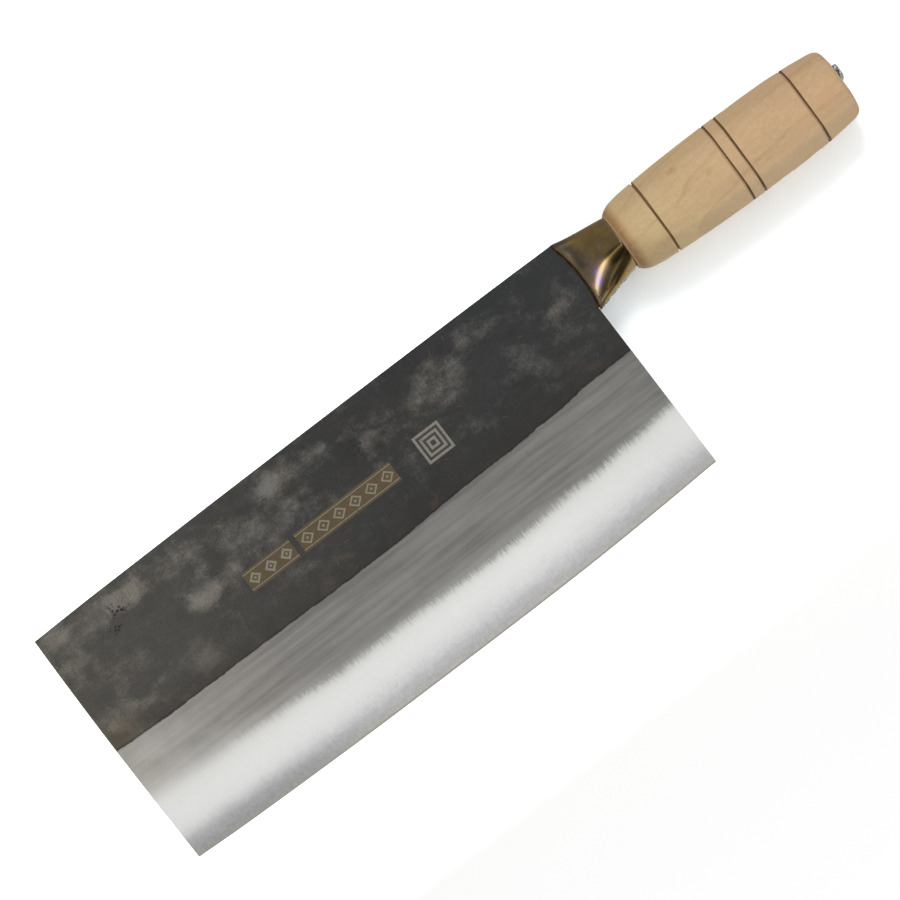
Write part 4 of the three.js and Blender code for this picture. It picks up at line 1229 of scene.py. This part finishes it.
def tang():
    """The rod and its clenched end, as one loft bent through a right angle at the butt."""
    s, m, turn, half, width = np.array(tang_path()).T[..., None]
    around = 56
    t = np.linspace(0, 2 * math.pi, around, endpoint=False)
    power = 5.0  # a square section with rounded corners
    rounding = (np.abs(np.cos(t)) ** power + np.abs(np.sin(t)) ** power) ** (-1 / power)
    y, off = width * rounding * np.cos(t), half * rounding * np.sin(t)
    s, m = s - off * np.sin(turn), m + off * np.cos(turn)
    # hammer marks on the visible arm
    dimple = noise(y, m, 1.5, 1.3, 81, 3, 0.6)
    dents = 0.09 * np.abs(dimple) + 0.10 * smoothstep(0.2, 0.8, noise(y, m, 2.2, 2.0, 83, 1))
    s = s - smoothstep(92.6, 94.0, s) * dents
    y = y + 0.06 * noise(m, s, 1.4, 1.4, 85, 2) * smoothstep(91, 92, s)
    m = m + 0.05 * noise(y, s, 1.2, 1.2, 87, 2) * smoothstep(91, 92, s)
    grid = from_grip(s, y, m)
    count = len(grid)
    faces = grid_faces(count, around)
    centre = count * around
    for hub, row, flip in ((centre, 0, False), (centre + 1, (count - 1) * around, True)):
        for i in range(around):
            face = [hub, row + i, row + (i + 1) % around]
            faces.append(face[::-1] if flip else face)
    points = np.concatenate([grid.reshape(-1, 3), [grid[0].mean(0), grid[-1].mean(0)]])
    return make_object("tang_rod", points, faces, 45)


def tang_material():
    n = material_net("hammered_tang_steel")
    grain = n.noise((0.5, 0.5, 0.5), detail=5, rough=0.65)
    patches = n.noise((1.5, 1.2, 1.2), 5, detail=4, rough=0.6)
    facets = n.cells((1.3, 1.1, 1.1), 2)
    color = n.paint(
        srgb(84, 82, 80),
        (patches.ease(0.44, 0.60), srgb(214, 214, 212)),
        (grain.ease(0.54, 0.66) * 0.75, srgb(48, 45, 43)),
    )
    normal = n.bump(facets * 1.4 + grain * 0.5, distance_mm=0.14, strength=0.8)
    return n.finish(color, roughness=0.22 + grain * 0.2, metallic=1.0, normal=normal)


# ================================================================== build and place the pieces
def place(obj, material, slot, node):
    obj.data.materials.append(material)
    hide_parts(node)
    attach(obj, "root")


for face_name, face in FACES.items():
    place(
        cladding(f"cladding_{face_name}", face["side"], face["shape_seed"], face["worn"]),
        forge_scale_material(f"forged_blade_{face_name}", face["side"], face["scale_seed"],
                             face["ground_seed"]),
        "forge_scale", f"blade_cladding_{face_name}",
    )
place(core(), core_material(), "blade_steel", "blade_core")
place(collar_shell(), collar_material(), "collar_steel", "collar")
weld = weld_material("seam_weld_metal", dark=srgb(74, 60, 42), light=srgb(128, 106, 72))
braze = weld_material("braze_metal", dark=srgb(58, 48, 34), light=srgb(90, 75, 50))
place(seam_bead(), weld, "weld_steel", "collar_seam_weld")
for face_name, face in FACES.items():
    place(braze_fillet(f"braze_{face_name}", face["side"]), braze, "weld_steel",
          f"collar_braze_{face_name}")
place(handle(), wood_material(), "grip_wood", "handle")
place(tang(), tang_material(), "tang_steel", "tang")
joint_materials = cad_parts["tang_weld"].data.materials
joint_materials.clear()
joint_materials.append(
    weld_material("tang_weld_metal", dark=srgb(60, 52, 44), light=srgb(104, 92, 78)))


# ================================================================== floor and backdrop (metres)
def floor_material():
    """Lit near the object, plain white far off, and clear at a grazing view."""
    n = material_net("pale_floor")
    incoming, position = n.outputs("NewGeometry", "Incoming", "Position")
    distance = n.node("VectorMath", {0: position}, output="Value", operation="LENGTH")
    lit = n.node("BsdfDiffuse", {"Color": (0.86, 0.855, 0.845, 1)})
    white = n.node("Emission", {"Color": (1, 1, 1, 1), "Strength": 1.0})
    surface = n.node("MixShader", {0: distance.ease(0.35, 1.3), 1: lit, 2: white})
    grazing = n.split(incoming)[2].ease(0.055, 0.066, start=1.0, end=0.0)
    hidden = grazing * n.node("LightPath", output="Is Camera Ray")
    clear = n.node("BsdfTransparent")
    return n.end(n.node("MixShader", {0: hidden, 1: surface, 2: clear}))


def backdrop_material():
    """White sheet, seen only when looked at nearly square on."""
    n = material_net("white_backdrop")
    incoming, position = n.outputs("NewGeometry", "Incoming", "Position")
    facing = n.split(incoming)[1] * -1.0
    # glows strongly behind the blade, so only the grip and the collar leave a shadow
    x = n.split(position)[0]
    glow = x.ease(0.074, 0.056, start=1.0, end=1.45) + x.ease(0.0555, 0.050, end=6.0)
    lit = n.node("BsdfDiffuse", {"Color": (0.94, 0.965, 0.99, 1)})
    emission = n.node("Emission", {"Color": (0.165, 0.185, 0.185, 1), "Strength": glow})
    sheet_shader = n.node("AddShader", {0: lit, 1: emission})
    clear = n.node("BsdfTransparent")
    return n.end(n.node("MixShader", {0: facing.ease(0.965, 0.98), 1: clear, 2: sheet_shader}))


def sheet(name, corners, material):
    mesh = bpy.data.meshes.new(name)
    mesh.from_pydata(corners, [], [(0, 1, 2, 3)])
    obj = bpy.data.objects.new(name, mesh)
    bpy.context.scene.collection.objects.link(obj)
    mesh.materials.append(material)
    return obj


def backdrop_point(x, z):
    """The sheet leans back from the cutting edge, just behind the whole object."""
    return (x, 0.0006 + 0.186 * z, z)


floor = sheet("floor", [(-9, -9, 0), (9, -9, 0), (9, 9, 0), (-9, 9, 0)], floor_material())
floor.visible_glossy = False
floor.visible_shadow = False
backdrop_corners = [(-0.5, -0.4), (0.5, -0.4), (0.5, 0.5), (-0.5, 0.5)]  # x, z
backdrop = sheet("backdrop", [backdrop_point(*corner) for corner in backdrop_corners],
                 backdrop_material())
for ray in ("diffuse", "glossy", "transmission", "volume_scatter", "shadow"):
    setattr(backdrop, f"visible_{ray}", False)


# ================================================================== world
SURROUND = 0.42  # even light from everywhere
# Soft round lights: direction, angle of the full middle, angle of the outer limit, strength.
GLOSS_LOBES = [
    ((0, -1, 0), 16, 42, 0.62), ((0, 1, 0), 16, 42, 0.62),
    ((0.05, -0.45, 0.9), 18, 34, 0.9), ((0, 0.6, 0.8), 12, 34, 0.8),
    ((0.9, -0.3, 0.25), 14, 30, 0.9), ((-0.9, 0.2, 0.3), 10, 30, 0.6),
]
SOFT_LOBES = [((0, -1, -0.06), 8, 72, 0.72), ((0, 1, -0.06), 8, 72, 0.72)]
# Strip lights and dark bands round the X axis: degrees down from -Y, strength.
STRIPS = [
    (-180, 0.95), (-172, 0.75), (-155, 0.42), (-100, 0.40), (-40, 0.40), (-12, 0.39),
    (0, 0.36), (5, 0.44), (10, 0.8), (13, 2.9), (15.5, 3.5), (18, 3.2), (21, 1.7),
    (24.5, 0.85), (29, 0.48), (37, 0.24), (44, 0.21), (50, 0.30), (57, 0.42), (62.5, 0.36),
    (67, 0.14), (90, 0.10), (106, 0.14), (120, 0.55), (134, 0.95), (180, 0.95),
]
STRIP_TOP = max(level for _, level in STRIPS)


def lobes(n, toward, table):
    """The even surround with a table of soft round lights added."""
    total = SURROUND
    for direction, inner, outer, strength in table:
        inputs = {0: toward, 1: Vector(direction).normalized()}
        dot = n.node("VectorMath", inputs, output="Value", operation="DOT_PRODUCT")
        lobe = dot.ease(math.cos(math.radians(outer)), math.cos(math.radians(inner)),
                        end=strength)
        total = lobe + total
    return total


def strip_lights(n, x, dip):
    """Strength of the strips, which lean a little to follow the collar's flare."""
    turned = dip + (x + 0.7) * 0.96 * dip.ease(-0.12, 0.01)
    node = n.new("FloatCurve", {"Value": turned / (2 * math.pi) + 0.5})
    curve = node.mapping.curves[0]
    while len(curve.points) > 2:
        curve.points.remove(curve.points[1])
    curve.points[0].location = (0.0, STRIPS[0][1] / STRIP_TOP)
    curve.points[1].location = (1.0, STRIPS[-1][1] / STRIP_TOP)
    for degrees, level in STRIPS[1:-1]:
        curve.points.new((degrees + 180) / 360, level / STRIP_TOP)
    node.mapping.update()
    return Field(n, node.outputs[0]) * STRIP_TOP


def build_world():
    world = bpy.data.worlds.new("studio")
    bpy.context.scene.world = world
    n = Net(world)
    toward = n.node("TexCoord", output="Generated")
    x, y, z = n.split(toward)
    dip = (z * -1.0).math("ARCTAN2", y * -1.0)
    strips = strip_lights(n, x, dip)
    # where the strips take over: towards -X, and further round overhead and low down
    overhead = dip.ease(math.radians(-22), math.radians(-45)) * x.ease(0.45, 0.25)
    below = dip.ease(math.radians(48), math.radians(62)) * x.ease(0.40, 0.25)
    where = x.ease(-0.10, -0.26).max(overhead).max(below)
    gloss = lobes(n, toward, GLOSS_LOBES) * (1.0 - where) + strips * where
    soft = lobes(n, toward, SOFT_LOBES)
    diffuse_ray, camera_ray = n.outputs("LightPath", "Is Diffuse Ray", "Is Camera Ray")
    strength = camera_ray.between(diffuse_ray.between(gloss, soft), 1.05)
    n.end(n.node("Background", {"Color": (1, 1, 1, 1), "Strength": strength}), "OutputWorld")


build_world()


# ================================================================== lights and camera (metres)
def area_light(name, location, size, power):
    """A round light aimed at the middle of the blade."""
    light = bpy.data.lights.new(name, "AREA")
    light.shape, light.size, light.energy = "DISK", size, power
    obj = bpy.data.objects.new(name, light)
    bpy.context.scene.collection.objects.link(obj)
    obj.location = location
    obj.rotation_mode = "QUATERNION"
    aim = Vector((0, 0, 0.05)) - Vector(location)
    obj.rotation_quaternion = aim.to_track_quat("-Z", "Y")
    obj.visible_glossy = False


area_light("key", location=(0.36, -1.00, 0.91), size=0.52, power=6.8)
area_light("rear", location=(0.2, 0.95, 1.0), size=0.6, power=5.0)

CAMERA_AIM = Vector((-0.01580, 0.0, 0.06050))
CAMERA_DISTANCE = 1.75
# the view is square on to the left face, rolled about the Y axis
CAMERA_RIGHT, CAMERA_UP = Vector((0.7937, 0, -0.6083)), Vector((0.6083, 0, 0.7937))
CAMERA_BACK = Vector((0, -1, 0))

camera = bpy.data.cameras.new("camera")
camera.sensor_width, camera.lens = 36.0, 205.3
camera.clip_start, camera.clip_end = 0.05, 30
camera_object = bpy.data.objects.new("camera", camera)
scene = bpy.context.scene
scene.collection.objects.link(camera_object)
pose = Matrix((CAMERA_RIGHT, CAMERA_UP, CAMERA_BACK)).transposed().to_4x4()
pose.translation = CAMERA_AIM + CAMERA_BACK * CAMERA_DISTANCE
camera_object.matrix_world = pose
scene.camera = camera_object
scene.view_settings.view_transform = "Standard"
scene.view_settings.look = "None"
